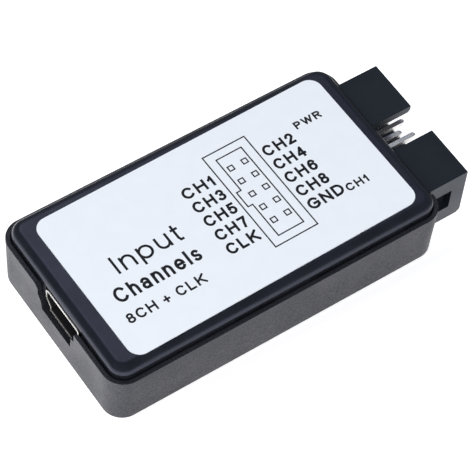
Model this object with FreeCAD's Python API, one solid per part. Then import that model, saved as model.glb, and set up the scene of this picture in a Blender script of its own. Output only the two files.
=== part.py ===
import FreeCAD, Part
import math
import os

# Pocket eight-channel logic analyzer, in millimetres.
# Origin: centre of the case's footprint, on the plane it rests on. +Z is up, +X points out of
# the ten-pin probe header and -X out of the mini USB socket.

Vector = FreeCAD.Vector

# Case
CASE_LENGTH = 50.5
CASE_WIDTH = 27.85
CASE_HEIGHT = 10.6
RIM_HEIGHT = 8.65
CASE_CORNER = 3.0
WALL_DRAFT = math.radians(1.3)
CASE_WALL = 1.5
LIP_WIDTH = 0.7  # the wall's outer part, which rises past the cover's skirt
LAP_HEIGHT = 7.0
RIM_BREAK = 0.12
FLOOR = 1.0
FOOT_ROUND = 0.4
THROUGH = 2.0  # how far a cutter runs past the face it opens

# Cover: a plate with a skirt that drops inside the rim
COVER_GAP = 0.08
COVER_PLATE = 1.2
COVER_SKIRT = 1.0
COVER_ROUND = 1.3
CUTOUT_CLEARANCE = 0.15

# Printed label on the cover, stuck on slightly out of square
LABEL_LENGTH = 43.8
LABEL_WIDTH = 23.4
LABEL_CORNER = 1.8
LABEL_THICKNESS = 0.12
LABEL_TURN = 0.9
LABEL_CENTRE = Vector(0.3, -0.15, 0)

# Probe header: shrouded, two rows of five, straddling the board's edge
PIN_PITCH = 2.54
PIN_SIDE = 0.64
PINS_PER_ROW = 5
PIN_TIP_TAPER = 0.35
HEADER_WIDTH = 20.3
HEADER_HEIGHT = 8.8
HEADER_MOUTH_X = 31.0
HEADER_DEPTH = 8.9
HEADER_CENTRE_Y = -0.35
HEADER_BOTTOM = 0.35
HEADER_WALL = 1.2
HEADER_BASE = 2.5
HEADER_LEAD_IN = 0.4
HEADER_CHAMFER = 0.5
KEY_WIDTH = 4.65
WINDOW_HEIGHT = 3.6
WINDOW_FROM_MOUTH = 2.2
PIN_TIP_X = 30.4
PIN_TAIL = 2.9
SOLDER_FOOT_WIDTH = 1.6
SOLDER_TOP_WIDTH = 0.9
SOLDER_RISE = 0.7
SOLDER_LENGTH = 2.4
SOLDER_BEHIND_TAIL = 0.1

# Circuit board
BOARD_THICKNESS = 1.2
BOARD_SIDE_GAP = 0.35
BOARD_HEADER_GAP = 0.1
BOARD_CORNER = 1.6
BOARD_HOLE_RADIUS = 1.05

# Four pins on the case floor carry the board and guide the cover's tubes
POST_PLACES = ((-21.0, 10.3), (-21.0, -10.3), (19.0, 10.3), (19.0, -10.3))
POST_RADIUS = 1.9
POST_PIN_RADIUS = 0.85
POST_PIN_TOP = 8.3
TUBE_RADIUS = 1.7
TUBE_BORE_RADIUS = 0.9
TUBE_BOARD_GAP = 0.05
TUBE_ROOF = 0.7
RIB_PLACES = (-9.0, 7.0)
RIB_WIDTH = 1.0
RIB_REACH = 1.4

# Mini USB socket, wide side up
USB_CENTRE_Y = -0.75
USB_FRONT_X = -24.65
USB_LENGTH = 9.2
USB_WIDTH = 7.7
USB_LOWER_WIDTH = 5.6
USB_HEIGHT = 3.75
USB_CORNER = 0.6
USB_KNEE = 0.24  # share of the height where the sides start to lean out
USB_WAIST = 0.52  # share of the height where they are upright again
USB_SLOPE_INSET = 0.6  # how much of an inset the narrow foot and the corner take
USB_SHEET = 0.28
USB_BACK = 2.4
TONGUE_WIDTH = 4.1
TONGUE_THICKNESS = 0.9
TONGUE_RECESS = 1.6
TONGUE_RISE = 1.35
CONTACT_COUNT = 5
CONTACT_PITCH = 0.8
CONTACT_WIDTH = 0.34
CONTACT_SHEET = 0.14
CONTACT_FOOT = 0.9
CONTACT_SETBACK = 0.3
CONTACT_BEHIND_BLOCK = 0.5
SHELL_TAB_LENGTH = 1.6
SHELL_TAB_REACH = 1.0
SHELL_TAB_FROM_FRONT = 3.0
SHELL_TAB_FROM_REAR = 1.2

# Opening in the end wall around the USB socket, and the pocket behind it for the socket's face
POCKET_SKIN = 0.5
PORT_CENTRE_Y = -0.1
PORT_BOTTOM = 4.65
PORT_SHOULDER = 7.05
PORT_LOWER_HALF = 3.3
PORT_UPPER_HALF = 4.2
PORT_LEAN = 0.2  # how far the lower sides lean out on their way up
PORT_STEP_RISE = {-1: 0.2, 1: 1.0}  # height of the slanted step on the -Y and the +Y side
PORT_FLARE = 0.9
PORT_OVERCUT = 0.2

# Derived levels and faces
HEADER_MID = HEADER_BOTTOM + HEADER_HEIGHT / 2
HEADER_TOP = HEADER_BOTTOM + HEADER_HEIGHT
HEADER_BACK_X = HEADER_MOUTH_X - HEADER_DEPTH
BOARD_TOP = HEADER_MID + BOARD_THICKNESS / 2
BOARD_BOTTOM = BOARD_TOP - BOARD_THICKNESS
USB_TOP = BOARD_TOP + USB_HEIGHT
CAVITY_LENGTH = CASE_LENGTH - 2 * CASE_WALL
CAVITY_WIDTH = CASE_WIDTH - 2 * CASE_WALL
CAVITY_CORNER = CASE_CORNER - CASE_WALL
LAP_LENGTH = CASE_LENGTH - 2 * LIP_WIDTH
LAP_WIDTH = CASE_WIDTH - 2 * LIP_WIDTH
LAP_CORNER = CASE_CORNER - LIP_WIDTH
COVER_LENGTH = LAP_LENGTH - 2 * COVER_GAP
COVER_WIDTH = LAP_WIDTH - 2 * COVER_GAP
COVER_CORNER = LAP_CORNER - COVER_GAP
COVER_UNDERSIDE = CASE_HEIGHT - COVER_PLATE
SKIRT_BOTTOM = LAP_HEIGHT + COVER_GAP
BOARD_END_X = HEADER_BACK_X - BOARD_HEADER_GAP
BOARD_START_X = -CAVITY_LENGTH / 2 + BOARD_SIDE_GAP


# ---------------------------------------------------------------- shape helpers

def box(x0, x1, y0, y1, z0, z1):
    """Block between two opposite corners."""
    return Part.makeBox(x1 - x0, y1 - y0, z1 - z0, Vector(x0, y0, z0))


def slab(x, y, z0, length, width, height):
    """Block centred on x, y that stands on height z0."""
    return box(x - length / 2, x + length / 2, y - width / 2, y + width / 2, z0, z0 + height)


def post(x, y, z0, z1, radius):
    """Upright cylinder."""
    return Part.makeCylinder(radius, z1 - z0, Vector(x, y, z0))


def prism(points, run):
    """Solid from a closed outline of points, pushed along the vector run."""
    return Part.Face(Part.makePolygon(points + [points[0]])).extrude(run)


def rounded_rectangle(length, width, radius, height):
    """Horizontal closed wire centred on the Z axis, with an arc at each corner."""
    half_x = length / 2
    half_y = width / 2
    inset = radius * (1 - math.sqrt(0.5))
    arcs = []
    for side_x, side_y in ((1, 1), (-1, 1), (-1, -1), (1, -1)):
        on_x_face = Vector(side_x * half_x, side_y * (half_y - radius), height)
        on_y_face = Vector(side_x * (half_x - radius), side_y * half_y, height)
        middle = Vector(side_x * (half_x - inset), side_y * (half_y - inset), height)
        ends = (on_x_face, on_y_face) if side_x * side_y > 0 else (on_y_face, on_x_face)
        arcs.append((ends[0], middle, ends[1]))
    edges = []
    for index, (start, middle, end) in enumerate(arcs):
        following = arcs[(index + 1) % 4][0]
        edges.append(Part.Arc(start, middle, end).toShape())
        edges.append(Part.LineSegment(end, following).toShape())
    return Part.Wire(edges)


def rounded_slab(length, width, radius, z0, z1):
    """Upright block with rounded vertical corners, centred on the Z axis."""
    outline = rounded_rectangle(length, width, radius, z0)
    return Part.Face(outline).extrude(Vector(0, 0, z1 - z0))


def level_edges(shape, height):
    """Edges of a shape that lie wholly at one height."""
    return [
        edge for edge in shape.Edges
        if abs(edge.BoundBox.ZMin - height) < 1e-4 and abs(edge.BoundBox.ZMax - height) < 1e-4
    ]


def tapered_block(x, y, z0, length, width, height, taper):
    """Moulded block that is widest at mid height and leans in by taper above and below."""
    sections = []
    for level, inset in ((z0, taper), (z0 + height / 2, 0.0), (z0 + height, taper)):
        half_x = length / 2 - inset
        half_y = width / 2 - inset
        corners = [
            Vector(x + side_x * half_x, y + side_y * half_y, level)
            for side_x, side_y in ((1, 1), (-1, 1), (-1, -1), (1, -1), (1, 1))
        ]
        sections.append(Part.makePolygon(corners))
    return Part.makeLoft(sections, True, True)


def turned(shape, degrees, x, y):
    """Copy of a shape turned about the Z axis and moved to x, y."""
    copy = shape.copy()
    copy.rotate(Vector(0, 0, 0), Vector(0, 0, 1), degrees)
    copy.translate(Vector(x, y, 0))
    return copy


def group(shapes):
    """Several separate solids in one node."""
    return Part.makeCompound(shapes)


# ---------------------------------------------------------------- case

def port_cutter():
    """Opening for the USB socket: narrow below, wide above, flared into the rim on one side."""
    x = -CASE_LENGTH / 2 - THROUGH
    top = RIM_HEIGHT + THROUGH
    step_foot = PORT_LOWER_HALF + PORT_LEAN
    flare_start = RIM_HEIGHT - PORT_FLARE
    flare_outer = PORT_UPPER_HALF + PORT_FLARE
    flare_lean = PORT_FLARE * math.sqrt(0.5)

    def at(offset_y, z):
        return Vector(x, PORT_CENTRE_Y + offset_y, z)

    corners = [
        at(flare_outer, RIM_HEIGHT),
        at(flare_outer, top),
        at(-PORT_UPPER_HALF, top),
        at(-PORT_UPPER_HALF, PORT_SHOULDER),
        at(-step_foot, PORT_SHOULDER - PORT_STEP_RISE[-1]),
        at(-PORT_LOWER_HALF, PORT_BOTTOM),
        at(PORT_LOWER_HALF, PORT_BOTTOM),
        at(step_foot, PORT_SHOULDER - PORT_STEP_RISE[1]),
        at(PORT_UPPER_HALF, PORT_SHOULDER),
        at(PORT_UPPER_HALF, flare_start),
    ]
    outline = [Part.LineSegment(a, b).toShape() for a, b in zip(corners, corners[1:])]
    middle = at(flare_outer - flare_lean, flare_start + flare_lean)
    outline.append(Part.Arc(corners[-1], middle, corners[0]).toShape())
    return Part.Face(Part.Wire(outline)).extrude(
        Vector(THROUGH + CASE_WALL + PORT_OVERCUT, 0, 0))


def socket_pocket():
    """Recess in the inner side of the end wall that the socket's front sits in."""
    half = USB_WIDTH / 2 + CUTOUT_CLEARANCE
    return box(
        -CASE_LENGTH / 2 + POCKET_SKIN, -CAVITY_LENGTH / 2 + RIM_BREAK,
        USB_CENTRE_Y - half, USB_CENTRE_Y + half, BOARD_TOP - CUTOUT_CLEARANCE, RIM_HEIGHT)


def header_cutter(z0, z1):
    """Clear space around the header where it passes through the case's end."""
    half = HEADER_WIDTH / 2 + CUTOUT_CLEARANCE
    end = CASE_LENGTH / 2 + THROUGH
    return box(BOARD_END_X, end, HEADER_CENTRE_Y - half, HEADER_CENTRE_Y + half, z0, z1)


def case_outside():
    """Outer form of the lower case: drafted walls and a rounded foot edge."""
    lean = RIM_HEIGHT * math.tan(WALL_DRAFT)
    foot = rounded_rectangle(
        CASE_LENGTH - 2 * lean, CASE_WIDTH - 2 * lean, CASE_CORNER - lean, 0)
    rim = rounded_rectangle(CASE_LENGTH, CASE_WIDTH, CASE_CORNER, RIM_HEIGHT)
    solid = Part.makeLoft([foot, rim], True, True)
    return solid.makeFillet(FOOT_ROUND, level_edges(solid, 0))


def bottom_shell():
    """Tray with a floor, four guide posts, board ribs and an opening at each end."""
    shell = case_outside()
    top = RIM_HEIGHT + THROUGH
    shell = shell.cut(rounded_slab(CAVITY_LENGTH, CAVITY_WIDTH, CAVITY_CORNER, FLOOR, top))
    shell = shell.cut(rounded_slab(LAP_LENGTH, LAP_WIDTH, LAP_CORNER, LAP_HEIGHT, top))
    rim_break = Part.makeLoft([
        rounded_rectangle(LAP_LENGTH, LAP_WIDTH, LAP_CORNER, RIM_HEIGHT - RIM_BREAK),
        rounded_rectangle(
            LAP_LENGTH + 2 * RIM_BREAK, LAP_WIDTH + 2 * RIM_BREAK,
            LAP_CORNER + RIM_BREAK, RIM_HEIGHT),
    ], True, True)
    shell = shell.cut(rim_break)
    additions = []
    for x, y in POST_PLACES:
        additions.append(post(x, y, FLOOR / 2, BOARD_BOTTOM, POST_RADIUS))
        additions.append(post(x, y, FLOOR / 2, POST_PIN_TOP, POST_PIN_RADIUS))
    for x in RIB_PLACES:
        for side in (1, -1):
            outer = side * (CAVITY_WIDTH / 2 + CASE_WALL / 2)
            inner = side * (CAVITY_WIDTH / 2 - RIB_REACH)
            low, high = sorted((outer, inner))
            additions.append(
                box(x - RIB_WIDTH / 2, x + RIB_WIDTH / 2, low, high, FLOOR / 2, BOARD_BOTTOM))
    shell = shell.fuse(additions)
    shell = shell.cut(port_cutter()).cut(socket_pocket())
    return shell.cut(header_cutter(-THROUGH, top)).removeSplitter()


def cover_outside():
    """Raised plate and skirt in one block, with its top edge rounded."""
    solid = rounded_slab(COVER_LENGTH, COVER_WIDTH, COVER_CORNER, SKIRT_BOTTOM, CASE_HEIGHT)
    return solid.makeFillet(COVER_ROUND, level_edges(solid, CASE_HEIGHT))


def top_cover():
    """Plate with a skirt inside the rim and four tubes that slide on the case's pins."""
    cover = cover_outside()
    cover = cover.cut(rounded_slab(
        COVER_LENGTH - 2 * COVER_SKIRT, COVER_WIDTH - 2 * COVER_SKIRT,
        COVER_CORNER - COVER_SKIRT, SKIRT_BOTTOM - THROUGH, COVER_UNDERSIDE))
    tube_bottom = BOARD_TOP + TUBE_BOARD_GAP
    tube_top = COVER_UNDERSIDE + COVER_PLATE / 2
    tubes = [post(x, y, tube_bottom, tube_top, TUBE_RADIUS) for x, y in POST_PLACES]
    cover = cover.fuse(tubes)
    bore_top = COVER_UNDERSIDE - TUBE_ROOF
    for x, y in POST_PLACES:
        cover = cover.cut(post(x, y, tube_bottom - THROUGH, bore_top, TUBE_BORE_RADIUS))
    usb_half = USB_WIDTH / 2 + 2 * CUTOUT_CLEARANCE
    usb_notch = box(
        -CASE_LENGTH / 2, -COVER_LENGTH / 2 + COVER_SKIRT + THROUGH,
        USB_CENTRE_Y - usb_half, USB_CENTRE_Y + usb_half,
        SKIRT_BOTTOM - THROUGH, USB_TOP + CUTOUT_CLEARANCE)
    header_notch = header_cutter(SKIRT_BOTTOM - THROUGH, HEADER_TOP + CUTOUT_CLEARANCE)
    return cover.cut(usb_notch).cut(header_notch).removeSplitter()


def front_label():
    """Thin printed sheet on the cover's flat top."""
    sheet = rounded_slab(LABEL_LENGTH, LABEL_WIDTH, LABEL_CORNER, 0, LABEL_THICKNESS)
    sheet.translate(Vector(0, 0, CASE_HEIGHT))
    return turned(sheet, LABEL_TURN, LABEL_CENTRE.x, LABEL_CENTRE.y)


# ---------------------------------------------------------------- circuit board

def circuit_board():
    """Board with rounded corners at the USB end and holes for the case's pins."""
    width = CAVITY_WIDTH - 2 * BOARD_SIDE_GAP
    length = BOARD_END_X - BOARD_START_X
    board = rounded_slab(length, width, BOARD_CORNER, BOARD_BOTTOM, BOARD_TOP)
    board.translate(Vector((BOARD_END_X + BOARD_START_X) / 2, 0, 0))
    for x, y in POST_PLACES:
        board = board.cut(
            post(x, y, BOARD_BOTTOM - THROUGH, BOARD_TOP + THROUGH, BOARD_HOLE_RADIUS))
    return board


# ---------------------------------------------------------------- probe header

def pin_rows():
    """Y and Z of every header pin's axis."""
    return [
        (HEADER_CENTRE_Y + (column - (PINS_PER_ROW - 1) / 2) * PIN_PITCH, HEADER_MID + rise)
        for rise in (PIN_PITCH / 2, -PIN_PITCH / 2)
        for column in range(PINS_PER_ROW)
    ]


def header_pin(y, z):
    """Square pin along X with a tapered tip in the mouth."""
    half = PIN_SIDE / 2
    shaft = box(
        HEADER_BACK_X - PIN_TAIL, PIN_TIP_X - PIN_TIP_TAPER, y - half, y + half, z - half, z + half)
    sections = []
    for x, reach in ((PIN_TIP_X - PIN_TIP_TAPER, half), (PIN_TIP_X, half / 2)):
        corners = [
            Vector(x, y + side_y * reach, z + side_z * reach)
            for side_y, side_z in ((1, 1), (-1, 1), (-1, -1), (1, -1), (1, 1))
        ]
        sections.append(Part.makePolygon(corners))
    return shaft.fuse(Part.makeLoft(sections, True, True)).removeSplitter()


def header_pins():
    """Ten square pins in two rows."""
    return group([header_pin(y, z) for y, z in pin_rows()])


def mouth_section(x, grow):
    """Closed outline of the header's cavity at x, grown by grow on every side."""
    half_y = HEADER_WIDTH / 2 - HEADER_WALL + grow
    half_z = HEADER_HEIGHT / 2 - HEADER_WALL + grow
    corners = [
        Vector(x, HEADER_CENTRE_Y + side_y * half_y, HEADER_MID + side_z * half_z)
        for side_y, side_z in ((1, 1), (-1, 1), (-1, -1), (1, -1), (1, 1))
    ]
    return Part.makePolygon(corners)


def header_shroud():
    """Moulded box around the pins: key slot above, a window in each end wall."""
    half_y = HEADER_WIDTH / 2
    floor_x = HEADER_BACK_X + HEADER_BASE
    low_y = HEADER_CENTRE_Y - half_y
    high_y = HEADER_CENTRE_Y + half_y
    shroud = box(HEADER_BACK_X, HEADER_MOUTH_X, low_y, high_y, HEADER_BOTTOM, HEADER_TOP)
    chamfer = prism([
        Vector(HEADER_MOUTH_X - HEADER_CHAMFER, low_y - THROUGH, HEADER_BOTTOM),
        Vector(HEADER_MOUTH_X, low_y - THROUGH, HEADER_BOTTOM),
        Vector(HEADER_MOUTH_X, low_y - THROUGH, HEADER_BOTTOM + HEADER_CHAMFER),
    ], Vector(0, HEADER_WIDTH + 2 * THROUGH, 0))
    cavity = Part.makeLoft(
        [mouth_section(floor_x, 0), mouth_section(HEADER_MOUTH_X + THROUGH, 0)], True, True)
    lead_in = Part.makeLoft(
        [mouth_section(HEADER_MOUTH_X - HEADER_LEAD_IN, 0),
         mouth_section(HEADER_MOUTH_X, HEADER_LEAD_IN)], True, True)
    key = box(
        floor_x, HEADER_MOUTH_X + THROUGH,
        HEADER_CENTRE_Y - KEY_WIDTH / 2, HEADER_CENTRE_Y + KEY_WIDTH / 2,
        HEADER_MID, HEADER_TOP + THROUGH)
    windows = box(
        floor_x, HEADER_MOUTH_X - WINDOW_FROM_MOUTH, low_y - THROUGH, high_y + THROUGH,
        HEADER_MID - WINDOW_HEIGHT / 2, HEADER_MID + WINDOW_HEIGHT / 2)
    for cutter in (chamfer, cavity, lead_in, key, windows, header_pins()):
        shroud = shroud.cut(cutter)
    return shroud


def header_solder():
    """One solder fillet under each pin tail, on the board face that the tail lies over."""
    joints = []
    pins = header_pins()
    run = Vector(SOLDER_LENGTH, 0, 0)
    start = HEADER_BACK_X - PIN_TAIL - SOLDER_BEHIND_TAIL
    half_foot = SOLDER_FOOT_WIDTH / 2
    half_top = SOLDER_TOP_WIDTH / 2
    for y, z in pin_rows():
        side = 1 if z > HEADER_MID else -1
        face = BOARD_TOP if side > 0 else BOARD_BOTTOM
        crest = face + side * SOLDER_RISE
        fillet = prism([
            Vector(start, y - half_foot, face),
            Vector(start, y + half_foot, face),
            Vector(start, y + half_top, crest),
            Vector(start, y - half_top, crest),
        ], run)
        joints.append(fillet.cut(pins))
    return group(joints)


# ---------------------------------------------------------------- USB socket

def usb_outline(inset, x):
    """Socket outline at x: wide above, leaning in to a narrower foot, set in by inset."""
    half_top = USB_WIDTH / 2 - inset
    half_foot = USB_LOWER_WIDTH / 2 - inset * USB_SLOPE_INSET
    top = USB_TOP - inset
    foot = BOARD_TOP + inset
    waist = BOARD_TOP + USB_HEIGHT * USB_WAIST
    knee = BOARD_TOP + USB_HEIGHT * USB_KNEE
    radius = USB_CORNER - inset * USB_SLOPE_INSET
    lean = radius * (1 - math.sqrt(0.5))

    def at(side, offset, z):
        return Vector(x, USB_CENTRE_Y + side * offset, z)

    half_edges = {}
    for side in (1, -1):
        half_edges[side] = [
            Part.LineSegment(at(side, half_foot, foot), at(side, half_foot, knee)),
            Part.LineSegment(at(side, half_foot, knee), at(side, half_top, waist)),
            Part.LineSegment(at(side, half_top, waist), at(side, half_top, top - radius)),
            Part.Arc(
                at(side, half_top, top - radius), at(side, half_top - lean, top - lean),
                at(side, half_top - radius, top)),
        ]
    roof = Part.LineSegment(at(1, half_top - radius, top), at(-1, half_top - radius, top))
    sole = Part.LineSegment(at(-1, half_foot, foot), at(1, half_foot, foot))
    edges = [sole] + half_edges[1] + [roof] + half_edges[-1][::-1]
    return Part.Wire(Part.__sortEdges__([edge.toShape() for edge in edges]))


def usb_block(inset, x0, x1):
    """Solid with the socket's outline between two places along X."""
    return Part.Face(usb_outline(inset, x0)).extrude(Vector(x1 - x0, 0, 0))


def usb_shell():
    """Folded sheet-metal sleeve with two solder tabs a side."""
    rear = USB_FRONT_X + USB_LENGTH
    sleeve = usb_block(0, USB_FRONT_X, rear).cut(
        usb_block(USB_SHEET, USB_FRONT_X - THROUGH, rear + THROUGH))
    tabs = []
    for x in (USB_FRONT_X + SHELL_TAB_FROM_FRONT, rear - SHELL_TAB_FROM_REAR):
        for side in (1, -1):
            inner = USB_CENTRE_Y + side * (USB_LOWER_WIDTH / 2 - USB_SHEET / 2)
            outer = USB_CENTRE_Y + side * (USB_WIDTH / 2 + SHELL_TAB_REACH)
            low, high = sorted((inner, outer))
            tabs.append(box(
                x - SHELL_TAB_LENGTH / 2, x + SHELL_TAB_LENGTH / 2, low, high,
                BOARD_TOP, BOARD_TOP + USB_SHEET))
    return sleeve.fuse(tabs).removeSplitter()


def contact_places():
    """Y of each USB contact."""
    return [
        USB_CENTRE_Y + (index - (CONTACT_COUNT - 1) / 2) * CONTACT_PITCH
        for index in range(CONTACT_COUNT)
    ]


def usb_contact(y):
    """Flat spring on the tongue that runs out of the back and down to a foot on the board."""
    front = USB_FRONT_X + TONGUE_RECESS + CONTACT_SETBACK
    bend = USB_FRONT_X + USB_LENGTH + CONTACT_BEHIND_BLOCK
    surface = BOARD_TOP + TONGUE_RISE + TONGUE_THICKNESS
    profile = [
        (front, surface),
        (bend - CONTACT_SHEET, surface),
        (bend - CONTACT_SHEET, BOARD_TOP),
        (bend + CONTACT_FOOT, BOARD_TOP),
        (bend + CONTACT_FOOT, BOARD_TOP + CONTACT_SHEET),
        (bend, BOARD_TOP + CONTACT_SHEET),
        (bend, surface + CONTACT_SHEET),
        (front, surface + CONTACT_SHEET),
    ]
    points = [Vector(x, y - CONTACT_WIDTH / 2, z) for x, z in profile]
    return prism(points, Vector(0, CONTACT_WIDTH, 0))


def usb_contacts():
    """Five contacts side by side."""
    return group([usb_contact(y) for y in contact_places()])


def usb_insulator():
    """Moulded block at the back of the socket with the tongue that carries the contacts."""
    rear = USB_FRONT_X + USB_LENGTH
    block = usb_block(USB_SHEET, rear - USB_BACK, rear)
    tongue = box(
        USB_FRONT_X + TONGUE_RECESS, rear - USB_BACK / 2,
        USB_CENTRE_Y - TONGUE_WIDTH / 2, USB_CENTRE_Y + TONGUE_WIDTH / 2,
        BOARD_TOP + TONGUE_RISE, BOARD_TOP + TONGUE_RISE + TONGUE_THICKNESS)
    return block.fuse(tongue).removeSplitter().cut(usb_contacts())


# ---------------------------------------------------------------- chips and their leads

LEAD_KNEE = 0.35  # share of a lead's reach where it turns down
LEAD_HEEL = 0.5  # share of a lead's reach where it meets the board
CHIP_STAND_OFF = 0.1
CHIP_TAPER = 0.12
MARK_RADIUS = 0.07  # first-pin mark, in shares of the chip's width
MARK_INSET = 0.17
MARK_DEPTH = 0.08


def gull_wing(x, body_half, span_half, exit_z, lead_width, sheet):
    """Lead that leaves a body's +Y side, bends down and ends in a foot on the board."""
    knee = body_half + (span_half - body_half) * LEAD_KNEE
    heel = body_half + (span_half - body_half) * LEAD_HEEL
    profile = [
        (body_half, exit_z),
        (knee - sheet / 2, exit_z),
        (heel - sheet / 2, BOARD_TOP),
        (span_half, BOARD_TOP),
        (span_half, BOARD_TOP + sheet),
        (heel + sheet / 2, BOARD_TOP + sheet),
        (knee + sheet / 2, exit_z + sheet),
        (body_half, exit_z + sheet),
    ]
    points = [Vector(x - lead_width / 2, y, z) for y, z in profile]
    return prism(points, Vector(lead_width, 0, 0))


class Chip:
    """Moulded package with its long side along X before it is turned into place."""

    def __init__(self, length, width, height, span, pitch, per_side, lead_width, sheet, place):
        self.length = length
        self.width = width
        self.height = height
        self.span = span
        self.pitch = pitch
        self.per_side = per_side
        self.lead_width = lead_width
        self.sheet = sheet
        self.x, self.y, self.turn = place

    def body(self):
        """Package with a round first-pin mark sunk in its top."""
        foot = BOARD_TOP + CHIP_STAND_OFF
        top = foot + self.height
        block = tapered_block(0, 0, foot, self.length, self.width, self.height, CHIP_TAPER)
        inset = self.width * MARK_INSET
        mark = post(
            inset - self.length / 2, inset - self.width / 2,
            top - MARK_DEPTH, top + THROUGH, self.width * MARK_RADIUS)
        return turned(block.cut(mark), self.turn, self.x, self.y)

    def leads(self):
        """All leads, in two rows."""
        exit_z = BOARD_TOP + CHIP_STAND_OFF + self.height / 2 - self.sheet / 2
        shapes = []
        for index in range(self.per_side):
            x = (index - (self.per_side - 1) / 2) * self.pitch
            lead = gull_wing(
                x, self.width / 2, self.span / 2, exit_z, self.lead_width, self.sheet)
            shapes.append(turned(lead, self.turn, self.x, self.y))
            shapes.append(turned(lead, self.turn + 180, self.x, self.y))
        return group(shapes)


CONTROLLER = Chip(18.4, 7.5, 2.3, 10.3, 0.635, 28, 0.25, 0.15, (-1.6, -0.9, 0))
BUFFER = Chip(6.5, 4.4, 1.0, 6.4, 0.65, 10, 0.24, 0.13, (13.0, -0.5, 90))
MEMORY = Chip(4.9, 3.9, 1.45, 6.0, 1.27, 4, 0.42, 0.2, (-3.0, 8.9, 0))

REGULATOR_PLACE = (-13.2, 8.3)
REGULATOR_SIZE = (6.5, 3.5, 1.6)
REGULATOR_SPAN = 7.0
REGULATOR_STAND_OFF = 0.05
REGULATOR_TAPER = 0.15
REGULATOR_SHEET = 0.26
REGULATOR_TAB_WIDTH = 3.0
REGULATOR_LEAD_WIDTH = 0.7
REGULATOR_PITCH = 2.3


def regulator_body():
    """Voltage regulator's moulded body."""
    foot = BOARD_TOP + REGULATOR_STAND_OFF
    return tapered_block(*REGULATOR_PLACE, foot, *REGULATOR_SIZE, REGULATOR_TAPER)


def regulator_leads():
    """Three leads on one side and the wide cooling tab on the other."""
    middle = BOARD_TOP + REGULATOR_STAND_OFF + REGULATOR_SIZE[2] / 2
    reach = (REGULATOR_SIZE[1] / 2, REGULATOR_SPAN / 2, middle - REGULATOR_SHEET / 2)
    tab = gull_wing(0, *reach, REGULATOR_TAB_WIDTH, REGULATOR_SHEET)
    shapes = [turned(tab, 0, *REGULATOR_PLACE)]
    for place in (-1, 0, 1):
        lead = gull_wing(
            place * REGULATOR_PITCH, *reach, REGULATOR_LEAD_WIDTH, REGULATOR_SHEET)
        shapes.append(turned(lead, 180, *REGULATOR_PLACE))
    return group(shapes)


# ---------------------------------------------------------------- crystal

CRYSTAL_PLACE = (-2.0, -9.25)
CRYSTAL_BASE = (11.4, 4.7, 0.6)
CRYSTAL_CAN = (10.4, 3.8, 2.6)
CRYSTAL_CAN_ROUND = 0.5
CRYSTAL_FLANGE = 0.3
CRYSTAL_LEAD_WIDTH = 0.6
CRYSTAL_LEAD_SHEET = 0.2
CRYSTAL_LEAD_START = 2.4
CRYSTAL_LEAD_PROUD = 0.6


def crystal_base():
    """Plastic carrier under the can, with a groove for each folded lead."""
    length, width, height = CRYSTAL_BASE
    base = slab(*CRYSTAL_PLACE, BOARD_TOP, length, width, height)
    return base.cut(crystal_leads())


def crystal_leads():
    """Two flat leads folded out to the ends of the carrier."""
    x, y = CRYSTAL_PLACE
    half_width = CRYSTAL_LEAD_WIDTH / 2
    reach = CRYSTAL_BASE[0] / 2 + CRYSTAL_LEAD_PROUD
    shapes = []
    for side in (1, -1):
        low, high = sorted((x + side * CRYSTAL_LEAD_START, x + side * reach))
        shapes.append(box(
            low, high, y - half_width, y + half_width,
            BOARD_TOP, BOARD_TOP + CRYSTAL_LEAD_SHEET))
    return group(shapes)


def crystal_can():
    """Drawn metal can with rounded ends and a flange at its foot."""
    length, width, height = CRYSTAL_CAN
    foot = BOARD_TOP + CRYSTAL_BASE[2]
    radius = 0.49 * width  # just short of a half circle, so that each side keeps its edges
    can = rounded_slab(length, width, radius, foot, foot + height)
    can = can.makeFillet(CRYSTAL_CAN_ROUND, level_edges(can, foot + height))
    flange = rounded_slab(
        length + 2 * CRYSTAL_FLANGE, width + 2 * CRYSTAL_FLANGE,
        radius + CRYSTAL_FLANGE, foot, foot + CRYSTAL_FLANGE)
    return turned(can.fuse(flange), 0, *CRYSTAL_PLACE)


# ---------------------------------------------------------------- small two-ended parts

# Each place is x, y and a turn in degrees about Z
RESISTOR_SIZE = (1.6, 0.8, 0.45)
CAPACITOR_SIZE = (1.6, 0.8, 0.8)
LED_SIZE = (1.6, 0.8, 0.35)
FUSE_SIZE = (3.2, 1.6, 0.8)
TANTALUM_SIZE = (3.2, 1.6, 1.6)
CHIP_END = 0.3
END_CAP_PROUD = 0.02
LENS_LENGTH = 1.0
LENS_HEIGHT = 0.4
LENS_TAPER = 0.04
TERMINAL_SHEET = 0.12
TERMINAL_SETBACK = 0.15  # the moulded body ends this far inside the part's length
TERMINAL_LAP = 0.95  # how far a terminal reaches under the body
TERMINAL_SHARE = 0.72  # of the body's width
TANTALUM_TAPER = 0.1

CHANNELS = 8
SERIES_PITCH = 1.4
SERIES_RESISTORS = [
    (17.6, HEADER_CENTRE_Y + (index - (CHANNELS - 1) / 2) * SERIES_PITCH, 0)
    for index in range(CHANNELS)
]
PULL_RESISTORS = [(x, 8.9, 90) for x in (1.6, 3.4, 5.2)]
LED_RESISTORS = [(14.6, 10.8, 0), (14.6, -10.8, 0)]
OTHER_RESISTORS = [(9.6, 8.6, 0), (9.6, 10.2, 0), (10.5, -10.4, 0)]
RESISTORS = SERIES_RESISTORS + PULL_RESISTORS + LED_RESISTORS + OTHER_RESISTORS

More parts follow.
